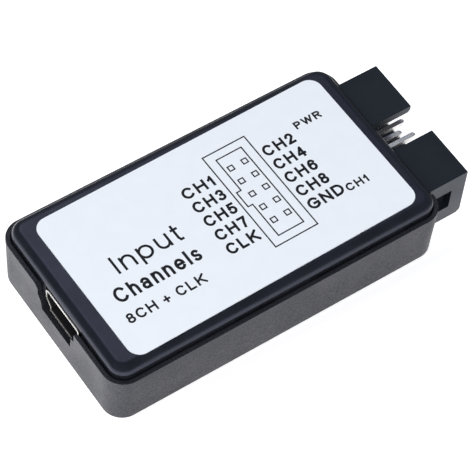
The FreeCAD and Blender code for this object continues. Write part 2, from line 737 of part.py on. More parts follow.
CONTROLLER_CAPACITORS = [(2.6, 5.6, 0), (6.2, 5.6, 0), (-12.2, -2.6, 90), (-12.2, 1.4, 90)]
BUFFER_CAPACITORS = [(13.0, 4.6, 0), (13.0, -5.6, 0)]
CRYSTAL_CAPACITORS = [(-10.2, -9.2, 90), (6.2, -9.2, 90)]
OTHER_CAPACITORS = [(9.2, -8.0, 0), (-19.5, -7.3, 0)]
CAPACITORS = (
    CONTROLLER_CAPACITORS + BUFFER_CAPACITORS + CRYSTAL_CAPACITORS + OTHER_CAPACITORS)

FUSES = [(-19.0, 5.2, 0)]
TANTALUMS = [(-8.0, 8.7, 90), (-14.8, -8.8, 0)]
POWER_LED_PLACE = (21.4, 11.1, 90)
CHANNEL_LED_PLACE = (21.4, -11.15, 90)


def chip_middle(size, place):
    """Ceramic middle of a two-ended chip."""
    length, width, height = size
    middle = slab(0, 0, BOARD_TOP, length - 2 * CHIP_END, width, height)
    x, y, turn = place
    return turned(middle, turn, x, y)


def chip_ends(size, place):
    """Two plated end caps, slightly proud of the middle."""
    length, width, height = size
    x, y, turn = place
    shapes = []
    for side in (1, -1):
        end = slab(
            side * (length - CHIP_END) / 2, 0, BOARD_TOP, CHIP_END, width,
            height + END_CAP_PROUD)
        shapes.append(turned(end, turn, x, y))
    return shapes


def chip_resistors():
    """Resistor middles."""
    return group([chip_middle(RESISTOR_SIZE, place) for place in RESISTORS])


def ceramic_capacitors():
    """Ceramic capacitor middles."""
    return group([chip_middle(CAPACITOR_SIZE, place) for place in CAPACITORS])


def usb_fuse():
    """Resettable fuse on the USB supply."""
    return chip_middle(FUSE_SIZE, FUSES[0])


def chip_end_caps():
    """End caps of every resistor, ceramic capacitor and the fuse."""
    shapes = []
    for size, places in (
            (RESISTOR_SIZE, RESISTORS), (CAPACITOR_SIZE, CAPACITORS), (FUSE_SIZE, FUSES)):
        for place in places:
            shapes.extend(chip_ends(size, place))
    return group(shapes)


def tantalum_capacitors():
    """Moulded bulk capacitors, standing clear of their terminals."""
    length, width, height = TANTALUM_SIZE
    body = tapered_block(
        0, 0, BOARD_TOP + TERMINAL_SHEET,
        length - 2 * TERMINAL_SETBACK, width, height - TERMINAL_SHEET, TANTALUM_TAPER)
    return group([turned(body, turn, x, y) for x, y, turn in TANTALUMS])


def tantalum_terminals():
    """Terminals folded down the ends and under the bulk capacitors."""
    length, width, height = TANTALUM_SIZE
    exit_z = BOARD_TOP + (height + TERMINAL_SHEET) / 2
    inner = length / 2 - TERMINAL_SETBACK
    outer = inner + TERMINAL_SHEET
    lap = length / 2 - TERMINAL_LAP
    profile = [
        (inner, exit_z),
        (outer, exit_z),
        (outer, BOARD_TOP),
        (lap, BOARD_TOP),
        (lap, BOARD_TOP + TERMINAL_SHEET),
        (inner, BOARD_TOP + TERMINAL_SHEET),
    ]
    half_width = width * TERMINAL_SHARE / 2
    points = [Vector(x, -half_width, z) for x, z in profile]
    terminal = prism(points, Vector(0, 2 * half_width, 0))
    return group([
        turned(terminal, turn + side, x, y)
        for x, y, turn in TANTALUMS
        for side in (0, 180)
    ])


def led_lens(place):
    """Clear moulded lens on the middle of an indicator light's carrier."""
    x, y, turn = place
    lens = tapered_block(
        0, 0, BOARD_TOP + LED_SIZE[2], LENS_LENGTH, LED_SIZE[1], LENS_HEIGHT, LENS_TAPER)
    return turned(lens, turn, x, y)


def led_carriers():
    """Carriers of the two indicator lights."""
    length, width, height = LED_SIZE
    shapes = []
    for x, y, turn in (POWER_LED_PLACE, CHANNEL_LED_PLACE):
        shapes.append(turned(slab(0, 0, BOARD_TOP, length, width, height), turn, x, y))
    return group(shapes)


# ---------------------------------------------------------------- nodes

NODES = {
    "bottom_shell": bottom_shell,
    "top_cover": top_cover,
    "front_label": front_label,
    "circuit_board": circuit_board,
    "header_shroud": header_shroud,
    "header_pins": header_pins,
    "header_solder": header_solder,
    "usb_shell": usb_shell,
    "usb_insulator": usb_insulator,
    "usb_contacts": usb_contacts,
    "controller_chip": CONTROLLER.body,
    "controller_leads": CONTROLLER.leads,
    "buffer_chip": BUFFER.body,
    "buffer_leads": BUFFER.leads,
    "memory_chip": MEMORY.body,
    "memory_leads": MEMORY.leads,
    "regulator": regulator_body,
    "regulator_leads": regulator_leads,
    "crystal_can": crystal_can,
    "crystal_base": crystal_base,
    "crystal_leads": crystal_leads,
    "chip_resistors": chip_resistors,
    "ceramic_capacitors": ceramic_capacitors,
    "usb_fuse": usb_fuse,
    "chip_end_caps": chip_end_caps,
    "tantalum_capacitors": tantalum_capacitors,
    "tantalum_terminals": tantalum_terminals,
    "power_led": lambda: led_lens(POWER_LED_PLACE),
    "channel_led": lambda: led_lens(CHANNEL_LED_PLACE),
    "led_carriers": led_carriers,
}

os.makedirs("parts", exist_ok=True)
for name, make in NODES.items():
    shape = make()
    if not shape.isValid():
        raise ValueError(f"{name} is not a valid shape")
    shape.exportStep(os.path.join("parts", f"{name}.step"))
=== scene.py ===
import math

import bmesh
import bpy
from mathutils import Matrix, Quaternion, Vector
from mathutils.geometry import delaunay_2d_cdt


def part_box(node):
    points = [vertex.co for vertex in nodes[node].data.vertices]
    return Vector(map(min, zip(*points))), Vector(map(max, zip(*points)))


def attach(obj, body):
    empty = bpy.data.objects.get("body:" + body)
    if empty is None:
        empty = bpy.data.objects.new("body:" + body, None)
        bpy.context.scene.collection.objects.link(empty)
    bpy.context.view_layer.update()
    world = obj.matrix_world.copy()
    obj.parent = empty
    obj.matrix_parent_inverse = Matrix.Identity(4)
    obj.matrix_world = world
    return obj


# Pocket logic analyzer: finishes for the CAD nodes, the print on the label, the board's copper and
# legend, the studio and the camera. Everything is in metres, and MM turns millimetres into metres.
MM = 0.001

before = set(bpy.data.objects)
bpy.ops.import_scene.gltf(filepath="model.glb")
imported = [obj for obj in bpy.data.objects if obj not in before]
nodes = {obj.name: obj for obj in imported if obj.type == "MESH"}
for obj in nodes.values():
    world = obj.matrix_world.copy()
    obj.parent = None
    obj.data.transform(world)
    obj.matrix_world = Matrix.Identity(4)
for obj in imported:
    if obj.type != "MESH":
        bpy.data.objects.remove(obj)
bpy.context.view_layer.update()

# Label print, in millimetres on the label: X along the reading direction, Y up the letters
LABEL_TURN = math.radians(0.9)
INK_THICKNESS = 0.012
LEFT_LEGENDS = ("CH1", "CH3", "CH5", "CH7", "CLK")
RIGHT_LEGENDS = ("CH2", "CH4", "CH6", "CH8", "GND")
LEGEND_PITCH = 2.47
LEGEND_TOP_BASELINE = 4.2
LEGEND_HEIGHT = 1.72
LEFT_LEGEND_X = -3.45
RIGHT_LEGEND_X = 9.15
LEGEND_WIDTH = 4.75
GND_WIDTH = 5.4
LEGEND_WEIGHT = 0.35
# Words in other sizes, as text, left, right, baseline, height of a capital and stroke weight
TITLE_WORDS = (
    ("Input", -16.7, -6.8, -0.45, 2.75, 0.34),
    ("Channels", -19.1, -6.5, -4.15, 2.25, 0.39),
    ("8CH + CLK", -19.6, -8.0, -7.28, 1.48, 0.28),
)
LAMP_WORDS = (
    ("PWR", 15.0, 19.05, 5.7, 1.18, 0.26),
    ("CH1", 14.85, 18.2, -5.86, 1.22, 0.26),
)
# Shares of a capital's height: the gap between letters and the reach below the baseline
LETTER_GAP = 0.2
LETTER_DESCENT = 0.3
# Bends sharper than this, as one plus the cosine of the turn, have their tips held back
SHARPEST_BEND = 0.5
STRAIGHT_TURN = 0.02
ARC_STEP = 12
MERGE_DISTANCE = 1e-4
DIAGRAM_LINE = 0.18
OUTLINE_X = (2.0, 8.52)
OUTLINE_Y = (-7.66, 8.55)
SOCKET_X = (3.31, 7.22)
SOCKET_Y = (-6.42, 7.34)
KEY_X = 2.61
KEY_Y = (-0.78, 1.78)
PIN_MARK_ROWS = 5
PIN_MARK_X = (4.23, 6.36)
PIN_MARK_TOP = 5.3
PIN_MARK_PITCH = 2.36
PIN_MARK_SIDE = 0.72

# Board details, in millimetres
BOARD_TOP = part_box("circuit_board")[1].z / MM
FOOT_DEPTH = 0.12
PAD_HEIGHT = 0.035
TRACK_HEIGHT = 0.018
TRACK_WIDTH = 0.2
POWER_TRACK_WIDTH = 0.3
SUPPLY_TRACK_WIDTH = 0.6
REGULATOR_TRACK_WIDTH = 0.5
CAP_TRACK_WIDTH = 0.25
VIA_RADIUS = 0.24
VIA_RING_WIDTH = 0.12
VIA_RING_HEIGHT = 0.03
VIA_HOLE_RADIUS = 0.14
VIA_HOLE_HEIGHT = 0.022
VIA_CLEARANCE = 0.05
# Distances from a pad's middle to its via, in the order they are tried
SHORT_FIRST = (1.0, 1.55)
LONG_FIRST = (1.55, 1.0)
CAP_VIA_REACHES = (0.95, 1.4)
POWER_VIA_REACHES = (1.1,)
REGULATOR_VIA_REACHES = (1.3,)
CAP_END_REACH = 0.65
# Tracks to a chip end this far inside its body
UNDER_CHIP = 0.6
# The series resistors stand in a column this far before the header's solder
SERIES_TO_HEADER = 2.7
SERIES_HALF_LENGTH = 1.0
BUFFER_BRIDGE_LIMIT = 0.5
HEADER_BRIDGE_LIMIT = 0.7
PAIR_HALF_GAP = 0.15
PAIR_LEAD_OUT = 1.0
FUSE_PAD_REACH = 1.4
SUPPLY_CORNER = 0.5
# The socket's four tab pads: their size, and how far they start from its mouth and its rear
TAB_PAD = (1.6, 1.0)
TAB_PAD_GROWTH = (0.15, 0.2)
TAB_FROM_MOUTH = 3.0
TAB_FROM_REAR = 2.8
# White legend: line width and height, and outline gaps across and along each part
SILK_LINE = 0.13
SILK_HEIGHT = 0.025
SILK_GAPS = {
    "chip_resistors": (0.22, 0.68),
    "ceramic_capacitors": (0.22, 0.68),
    "tantalum_capacitors": (0.3, 0.75),
    "usb_fuse": (0.3, 0.75),
    "crystal_base": (0.3, 0.8),
    "led_carriers": (0.2, 0.25),
}
SILK_CHIPS = ("controller_chip", "buffer_chip", "memory_chip", "regulator")
CHIP_LINE_GAP = 0.3
FIRST_PIN_DOT_GAP = 0.75
FIRST_PIN_DOT_RADIUS = 0.25
POST_PLACES = ((-21.0, 10.3), (-21.0, -10.3), (19.0, 10.3), (19.0, -10.3))
TUBE_REACH = 1.8
TALL_PARTS = (*SILK_CHIPS, "crystal_base", "chip_resistors", "ceramic_capacitors", "usb_fuse",
              "tantalum_capacitors", "usb_shell")
# How far each pad runs past its foot: across the foot's shorter side, and along its longer side
PAD_GROWTH = {
    "controller_leads": (0.07, 0.35),
    "buffer_leads": (0.07, 0.2),
    "memory_leads": (0.12, 0.3),
    "regulator_leads": (0.2, 0.3),
    "crystal_leads": (0.2, 0.15),
    "chip_end_caps": (0.2, 0.1),
    "tantalum_terminals": (0.3, 0.2),
    "usb_contacts": (0.08, 0.3),
    "header_solder": (0.15, 0.15),
    "led_carriers": (0.1, 0.1),
}

# The painted shade inside the socket deepens over this stretch behind its mouth
SOCKET_LOW, SOCKET_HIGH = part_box("usb_shell")
SOCKET_CENTRE = (SOCKET_LOW + SOCKET_HIGH) / 2
SOCKET_SHADE_X = (SOCKET_LOW.x - 0.1 * MM, SOCKET_LOW.x + 0.15 * MM)

# Camera
CAMERA_AZIMUTH = math.radians(-39.45)
CAMERA_ELEVATION = math.radians(55.76)
CAMERA_ROLL = math.radians(6.3)
CAMERA_DISTANCE = 0.3205
CAMERA_LENS = 189.9
CAMERA_AIM = Vector((1.6, -0.95, 5.0)) * MM
CAMERA_CLIP = (0.01, 20.0)

# Floor: it lies FLOOR_GAP below the base and glows FLOOR_BRIGHT, less along the -Y wall as painted
# shade, and less far from the object, so that a painted pool of light lies round it
FLOOR_HALF = 3.0
FLOOR_GAP = 0.02 * MM
FLOOR_BRIGHT = 0.7
FLOOR_DIM = 0.22
FLOOR_DIM_BEFORE_WALL = (10 * MM, 16 * MM)
FLOOR_DIM_FROM_X = (-30 * MM, -20 * MM)
FLOOR_DIM_REACH = (50 * MM, 100 * MM)
FLOOR_POOL_REACH = (90 * MM, 240 * MM)
FLOOR_POOL_FAR = 0.4
# Beyond the object, the floor's far parts are painted dark in the case's mirror images: a painted
# dark reflection
FLOOR_BEYOND = (12 * MM, 18 * MM)
FLOOR_LONG_RAY = (12 * MM, 24 * MM)
FLOOR_MIRRORED = (0.12, 0.13, 0.13, 1.0)

# Sky and key light
SKY_LOW_NEAR = (0.34, 0.33, 0.34, 1.0)
SKY_LOW_BEYOND = (0.26, 0.27, 0.28, 1.0)
SKY_OVERHEAD = (0.13, 0.13, 0.16, 1.0)
SKY_BEYOND = (0.18, 0.21, 0.25, 1.0)
SKY_RISE = (0.02, 0.45)
BEYOND_DIRECTION = Vector((0.63, 0.77, 0))
BEYOND_SPREAD = (0.15, 0.5)
SKY_WINDOW = (1.45, 1.5, 1.6, 1.0)
WINDOW_DIRECTION = Vector((0.15, 0.56, 0.82))
WINDOW_SPREAD = (0.955, 0.99)
KEY_DIRECTION = (-0.55, -0.45, 0.8)
KEY_DISTANCE = 0.9
KEY_SIZE = 1.3
KEY_POWER = 14.5


# Shading. Noise gathers round 0.5: these are the stretches of it that a pattern uses
NOISE_SPREAD = (0.3, 0.7)
NOISE_CLOUDS = (0.35, 0.65)
# Cosines of the bend, and shares of open sky, between which an edge or a corner fades in
EDGE_BEND = (0.995, 0.85)
CORNER_OPENNESS = (0.35, 0.95)
INWARD_REACH = (-0.02 * MM, -0.2 * MM)
BEVEL_SAMPLES = 6
CORNER_SAMPLES = 4
# Rubbed edges: their width, the share of their lighter tone, which is also a painted edge
# highlight, and their polish
RUB_AND_HIGHLIGHT_WIDTH = 0.12 * MM
RUB_AND_HIGHLIGHT_SHARE = 0.6
RUB_POLISH = 0.12
DUST_WIDTH = 0.8 * MM
DUST_SHARE = 0.15
# Grime and painted shade fill metal hollows this narrow, and the socket's lower lip darkens this
# much in patches
GRIME_AND_SHADE_WIDTH = 0.4 * MM
LIP_DARKENING = 0.85


# ---------------------------------------------------------------- material network

class Network:
    """A node tree with short ways to add and link nodes."""

    def __init__(self, tree):
        self.tree = tree

    def node(self, kind):
        return self.tree.nodes.new(kind)

    def feed(self, socket, value):
        """Links an output to the socket, or sets the socket's own value."""
        if isinstance(value, bpy.types.NodeSocket):
            self.tree.links.new(value, socket)
        else:
            socket.default_value = value

    def ramp(self, value, low, high, to_low=0.0, to_high=1.0):
        """Value between low and high, spread over to_low to to_high and held there."""
        ranged = self.node("ShaderNodeMapRange")
        ranged.interpolation_type = "SMOOTHSTEP"
        for socket, number in zip(ranged.inputs, (value, low, high, to_low, to_high)):
            self.feed(socket, number)
        return ranged.outputs[0]

    def math(self, operation, first, second=0.0):
        made = self.node("ShaderNodeMath")
        made.operation = operation
        self.feed(made.inputs[0], first)
        self.feed(made.inputs[1], second)
        return made.outputs[0]

    def mix(self, share, first, second):
        """Colour between first and second."""
        made = self.node("ShaderNodeMix")
        made.data_type = "RGBA"
        self.feed(made.inputs[0], share)
        self.feed(made.inputs[6], first)
        self.feed(made.inputs[7], second)
        return made.outputs[2]

    def along(self, place, direction):
        """Component of a vector output along a direction."""
        dot = self.node("ShaderNodeVectorMath")
        dot.operation = "DOT_PRODUCT"
        self.feed(dot.inputs[0], place)
        self.feed(dot.inputs[1], direction)
        return dot.outputs["Value"]


class Finish(Network):
    """A principled shader and the node network that feeds it, in the part's own coordinates."""

    def __init__(self, name):
        self.material = bpy.data.materials.new(name)
        self.material.use_nodes = True
        super().__init__(self.material.node_tree)
        self.tree.nodes.clear()
        self.shader = self.node("ShaderNodeBsdfPrincipled")
        self.surface = self.node("ShaderNodeOutputMaterial").inputs["Surface"]
        self.feed(self.surface, self.shader.outputs[0])
        self.place = self.node("ShaderNodeTexCoord").outputs["Object"]

    def set(self, name, value):
        self.feed(self.shader.inputs[name], value)

    def toward(self, x, y, z):
        """How far a point of the part lies from its origin along a direction."""
        return self.along(self.place, Vector((x, y, z)))

    def noise(self, size, detail=3.0, stretch=(1, 1, 1)):
        """Noise from 0 to 1 whose features are about size metres, longer along a low stretch."""
        mapping = self.node("ShaderNodeMapping")
        self.feed(mapping.inputs["Vector"], self.place)
        self.feed(mapping.inputs["Scale"], [share / size for share in stretch])
        texture = self.node("ShaderNodeTexNoise")
        self.feed(texture.inputs["Vector"], mapping.outputs[0])
        self.feed(texture.inputs["Scale"], 1.0)
        self.feed(texture.inputs["Detail"], detail)
        return texture.outputs["Fac"]

    def cells(self, size):
        """Distance to the nearest of scattered points about size metres apart."""
        texture = self.node("ShaderNodeTexVoronoi")
        self.feed(texture.inputs["Vector"], self.place)
        self.feed(texture.inputs["Scale"], 1 / size)
        return texture.outputs["Distance"]

    def softened(self, radius):
        """Surface normal with the edges rounded over radius metres."""
        bevel = self.node("ShaderNodeBevel")
        bevel.samples = BEVEL_SAMPLES
        self.feed(bevel.inputs["Radius"], radius)
        return bevel.outputs[0]

    def edges(self, radius):
        """1 on edges sharper than radius metres and 0 on flat faces."""
        normal = self.node("ShaderNodeNewGeometry").outputs["Normal"]
        return self.ramp(self.along(self.softened(radius), normal), *EDGE_BEND)

    def crevices(self, distance):
        """1 in corners and gaps narrower than distance metres and 0 in the open."""
        shade = self.node("ShaderNodeAmbientOcclusion")
        shade.samples = CORNER_SAMPLES
        self.feed(shade.inputs["Distance"], distance)
        return self.ramp(shade.outputs["AO"], *CORNER_OPENNESS, 1.0, 0.0)

    def turned_inward(self, centre):
        """1 on faces that look toward the line along X through centre, and 0 on the others."""
        outward = self.node("ShaderNodeVectorMath")
        outward.operation = "SUBTRACT"
        self.feed(outward.inputs[0], self.place)
        self.feed(outward.inputs[1], centre)
        across = self.node("ShaderNodeVectorMath")
        across.operation = "MULTIPLY"
        self.feed(across.inputs[0], outward.outputs[0])
        self.feed(across.inputs[1], Vector((0, 1, 1)))
        normal = self.node("ShaderNodeNewGeometry").outputs["Normal"]
        return self.ramp(self.along(normal, across.outputs[0]), *INWARD_REACH)

    def clear_from_behind(self):
        """Lets the back of each face be seen through."""
        choice = self.node("ShaderNodeMixShader")
        self.feed(choice.inputs[0], self.node("ShaderNodeNewGeometry").outputs["Backfacing"])
        self.feed(choice.inputs[1], self.shader.outputs[0])
        self.feed(choice.inputs[2], self.node("ShaderNodeBsdfTransparent").outputs[0])
        self.feed(self.surface, choice.outputs[0])

    def bump(self, *layers, edge=0.0):
        """Stacks height layers of (height from 0 to 1, depth in metres) over softened edges."""
        normal = self.softened(edge) if edge else None
        for height, depth in layers:
            made = self.node("ShaderNodeBump")
            self.feed(made.inputs["Height"], height)
            self.feed(made.inputs["Distance"], depth)
            if normal is not None:
                self.feed(made.inputs["Normal"], normal)
            normal = made.outputs[0]
        self.set("Normal", normal)


def colour(red, green, blue):
    """Opaque colour."""
    return (red, green, blue, 1.0)


def moulded_plastic(name, dark, sheen, grain, grain_depth, fleck, roughness, wave_depth):
    """Black moulding: eroded-mould grain, faint cloudiness, rubbed edges that also carry a painted
    highlight, and dust in corners.
    """
    finish = Finish(name)
    cloud = finish.noise(6 * MM, 4)
    wave = finish.noise(2.5 * MM, 1)
    fine = finish.noise(grain, 2)
    pits = finish.cells(grain * 1.6)
    # Edges lighter in patches: rubbing wear, and a painted edge highlight
    worn_lit_patches = finish.ramp(finish.noise(1.5 * MM), 0.4, 0.65)
    rubbed_lit_edges = finish.math("MULTIPLY", finish.edges(RUB_AND_HIGHLIGHT_WIDTH), worn_lit_patches)
    drifts = finish.ramp(finish.noise(0.9 * MM), 0.45, 0.75)
    dust = finish.math("MULTIPLY", finish.crevices(DUST_WIDTH), drifts)
    lighter = colour(*(share * 1.25 for share in dark[:3]))
    body = finish.mix(finish.ramp(cloud, *NOISE_CLOUDS), dark, lighter)
    body = finish.mix(finish.math("MULTIPLY", rubbed_lit_edges, RUB_AND_HIGHLIGHT_SHARE), body, WORN_AND_LIT)
    body = finish.mix(finish.math("MULTIPLY", dust, DUST_SHARE), body, DUST)
    finish.set("Base Color", body)
    finish.set("Specular Tint", sheen)
    rough = finish.ramp(cloud, *NOISE_SPREAD, roughness - 0.05, roughness + 0.05)
    rough = finish.math("SUBTRACT", rough, finish.math("MULTIPLY", rubbed_lit_edges, RUB_POLISH))
    finish.set("Roughness", rough)
    glints = finish.ramp(fine, *NOISE_SPREAD, 0.5 - fleck, 0.5 + fleck)
    finish.set("Specular IOR Level", glints)
    finish.bump((wave, wave_depth), (fine, grain_depth), (pits, grain_depth * 0.5), edge=0.08 * MM)
    return finish.material


def plated_metal(name, bright, dull, roughness, brushed, hollow_grime_and_shade=0.6, line_depth=0.004 * MM,
                 shine=1.0, socket=False):
    """Plated sheet or wire: drawn lines along one axis, tarnish, dents, and grime in the hollows,
    which is also painted shade.

    The socket's sleeve has painted shade on the faces turned inward behind its mouth, and is darker
    in patches round its lower lip.
    """
    finish = Finish(name)
    lines = finish.noise(0.05 * MM, 2, brushed)
    tarnish = finish.ramp(finish.noise(1.2 * MM, 5), 0.42, 0.72)
    metal = finish.mix(tarnish, bright, dull)
    # Hollows darken with grime and painted shade
    painted_shade_and_grime = finish.math("MULTIPLY", finish.crevices(GRIME_AND_SHADE_WIDTH), hollow_grime_and_shade)
    if socket:
        # Inside the sleeve, painted shade on the faces turned inward deepens behind the mouth
        depth = finish.ramp(finish.toward(1, 0, 0), *SOCKET_SHADE_X)
        lower = finish.ramp(finish.toward(0, 0, 1), SOCKET_CENTRE.z, SOCKET_LOW.z)
        patches = finish.ramp(finish.noise(1.6 * MM, 2), 0.42, 0.56)
        lip = finish.math("MULTIPLY", finish.math("MULTIPLY", lower, patches), LIP_DARKENING)
        painted_shade_and_grime = finish.math("MULTIPLY", finish.turned_inward(SOCKET_CENTRE), depth)
        painted_shade_and_grime = finish.math("MAXIMUM", painted_shade_and_grime, lip)
    finish.set("Base Color", finish.mix(painted_shade_and_grime, metal, GRIME_AND_SHADE))
    finish.set("Metallic", finish.math("SUBTRACT", shine, painted_shade_and_grime))
    uneven = finish.ramp(lines, *NOISE_SPREAD, -0.05, 0.06)
    base = finish.ramp(tarnish, 0.0, 1.0, roughness, roughness + 0.15)
    finish.set("Roughness", finish.math("ADD", base, uneven))
    finish.bump((lines, line_depth), (finish.noise(0.6 * MM, 2), 0.006 * MM), edge=0.05 * MM)
    return finish.material


def label_sheet():
    """White film laminate: bluish white, faintly mottled and satin, with a greyer cut edge."""
    finish = Finish("label_film")
    mottle = finish.ramp(finish.noise(2.2 * MM, 5), *NOISE_SPREAD)
    tone = finish.mix(mottle, *FILM_WHITE)
    tone = finish.mix(finish.math("MULTIPLY", finish.edges(0.1 * MM), 0.5), tone, FILM_EDGE)
    finish.set("Base Color", tone)
    finish.set("Roughness", finish.ramp(finish.noise(0.5 * MM, 3), *NOISE_SPREAD, 0.38, 0.5))
    finish.set("Coat Weight", 0.15)
    finish.set("Coat Roughness", 0.25)
    finish.bump((finish.noise(0.35 * MM, 3), 0.002 * MM), (finish.noise(5 * MM, 2), 0.02 * MM))
    return finish.material


def printed_ink():
    """Black ink that thins slightly over the film's texture."""
    finish = Finish("printed_ink")
    thin = finish.ramp(finish.noise(0.18 * MM, 3), 0.45, 0.8)
    finish.set("Base Color", finish.mix(thin, *INK_BLACK))
    finish.set("Roughness", finish.ramp(thin, 0.0, 1.0, 0.5, 0.62))
    finish.set("Specular IOR Level", 0.3)
    finish.bump((finish.noise(0.12 * MM, 2), 0.002 * MM))
    return finish.material


def solder_mask(name, light, dark, glint):
    """Green lacquer over laminate, with the glass weave just showing."""
    finish = Finish(name)
    weave = []
    for axis in ("X", "Y"):
        wave = finish.node("ShaderNodeTexWave")
        wave.bands_direction = axis
        finish.feed(wave.inputs["Vector"], finish.place)
        finish.feed(wave.inputs["Scale"], 0.32 / MM)
        finish.feed(wave.inputs["Distortion"], 0.6)
        weave.append(wave.outputs["Fac"])
    cloth = finish.math("MULTIPLY", *weave)
    mottle = finish.ramp(finish.noise(3 * MM, 4), *NOISE_CLOUDS)
    green = finish.mix(mottle, light, dark)
    finish.set("Base Color", finish.mix(finish.math("MULTIPLY", cloth, 0.35), green, glint))
    finish.set("Roughness", finish.ramp(finish.noise(1.0 * MM, 3), *NOISE_SPREAD, 0.22, 0.34))
    finish.set("Coat Weight", 0.3)
    finish.bump((cloth, 0.004 * MM), (finish.noise(0.8 * MM, 2), 0.006 * MM))
    return finish.material


def plain_finish(name, light, dark, size, roughness, grain_depth, **extras):
    """Two close tones clouded together, with uneven roughness and a light grain."""
    finish = Finish(name)
    cloud = finish.ramp(finish.noise(size, 4), *NOISE_CLOUDS)
    finish.set("Base Color", finish.mix(cloud, light, dark))
    finish.set("Roughness", finish.ramp(cloud, 0.0, 1.0, roughness, roughness + 0.12))
    for key, value in extras.items():
        finish.set(key.replace("_", " "), value)
    finish.bump((finish.noise(size * 0.2, 3), grain_depth))
    return finish.material


BLACK_CASE = colour(0.010, 0.011, 0.013)
BLACK_COVER = colour(0.008, 0.009, 0.012)
BLACK_HEADER = colour(0.009, 0.012, 0.014)
# Lighter tone of rubbed edges, which also serves as a painted edge highlight
WORN_AND_LIT = colour(0.022, 0.023, 0.027)
DUST = colour(0.06, 0.062, 0.065)
# Grime and painted shade in metal hollows, and painted shade inside the socket
GRIME_AND_SHADE = colour(0.012, 0.012, 0.013)
# Lacquer tones: light, dark, and the glint of the weave
MASK_OVER_LAMINATE = colour(0.004, 0.075, 0.04), colour(0.006, 0.1, 0.052), colour(0.02, 0.15, 0.07)
MASK_OVER_COPPER = colour(0.02, 0.20, 0.085), colour(0.03, 0.25, 0.10), colour(0.06, 0.30, 0.13)
FILM_EDGE = colour(0.62, 0.66, 0.70)
TIN_WHITE = colour(1.0, 0.96, 0.94)
TIN_LIGHT = colour(0.80, 0.78, 0.76)
TIN_DARK = colour(0.52, 0.50, 0.49)
# Pairs of tones that are clouded together
FILM_WHITE = colour(0.81, 0.852, 0.898), colour(0.825, 0.866, 0.908)
INK_BLACK = colour(0.006, 0.006, 0.009), colour(0.022, 0.023, 0.028)
FLOOR_PALE = colour(0.90, 0.90, 0.90), colour(0.93, 0.93, 0.93)
NICKEL = colour(0.78, 0.76, 0.72), colour(0.50, 0.48, 0.45)
CRYSTAL_STEEL = colour(0.72, 0.71, 0.68), colour(0.5, 0.49, 0.47)
GOLD = colour(0.90, 0.66, 0.28), colour(0.62, 0.45, 0.2)
SOLDER = colour(0.72, 0.73, 0.74), colour(0.48, 0.49, 0.50)
CHIP_EPOXY = colour(0.018, 0.018, 0.019), colour(0.03, 0.03, 0.031)
RESISTOR_GLAZE = colour(0.012, 0.012, 0.014), colour(0.03, 0.03, 0.034)
CERAMIC = colour(0.42, 0.28, 0.16), colour(0.34, 0.22, 0.12)
TANTALUM_EPOXY = colour(0.72, 0.44, 0.06), colour(0.62, 0.36, 0.045)
FUSE_COATING = colour(0.03, 0.17, 0.06), colour(0.02, 0.12, 0.045)
LENS_EPOXY = colour(0.80, 0.86, 0.78), colour(0.70, 0.78, 0.68)
LAMP_LAMINATE = colour(0.80, 0.79, 0.74), colour(0.70, 0.69, 0.64)
SILK_INK = colour(0.78, 0.79, 0.77), colour(0.68, 0.69, 0.66)
DRILLED_HOLE = colour(0.02, 0.02, 0.02), colour(0.05, 0.05, 0.04)
# Tints of the mouldings' reflections
CASE_SHEEN = colour(0.96, 0.94, 1.12)
COVER_SHEEN = colour(0.86, 0.92, 1.25)
HEADER_SHEEN = colour(0.46, 0.50, 0.70)


def dress(material, *names):
    """Gives CAD nodes a material."""
    for name in names:
        for slot in nodes[name].material_slots:
            slot.material = material


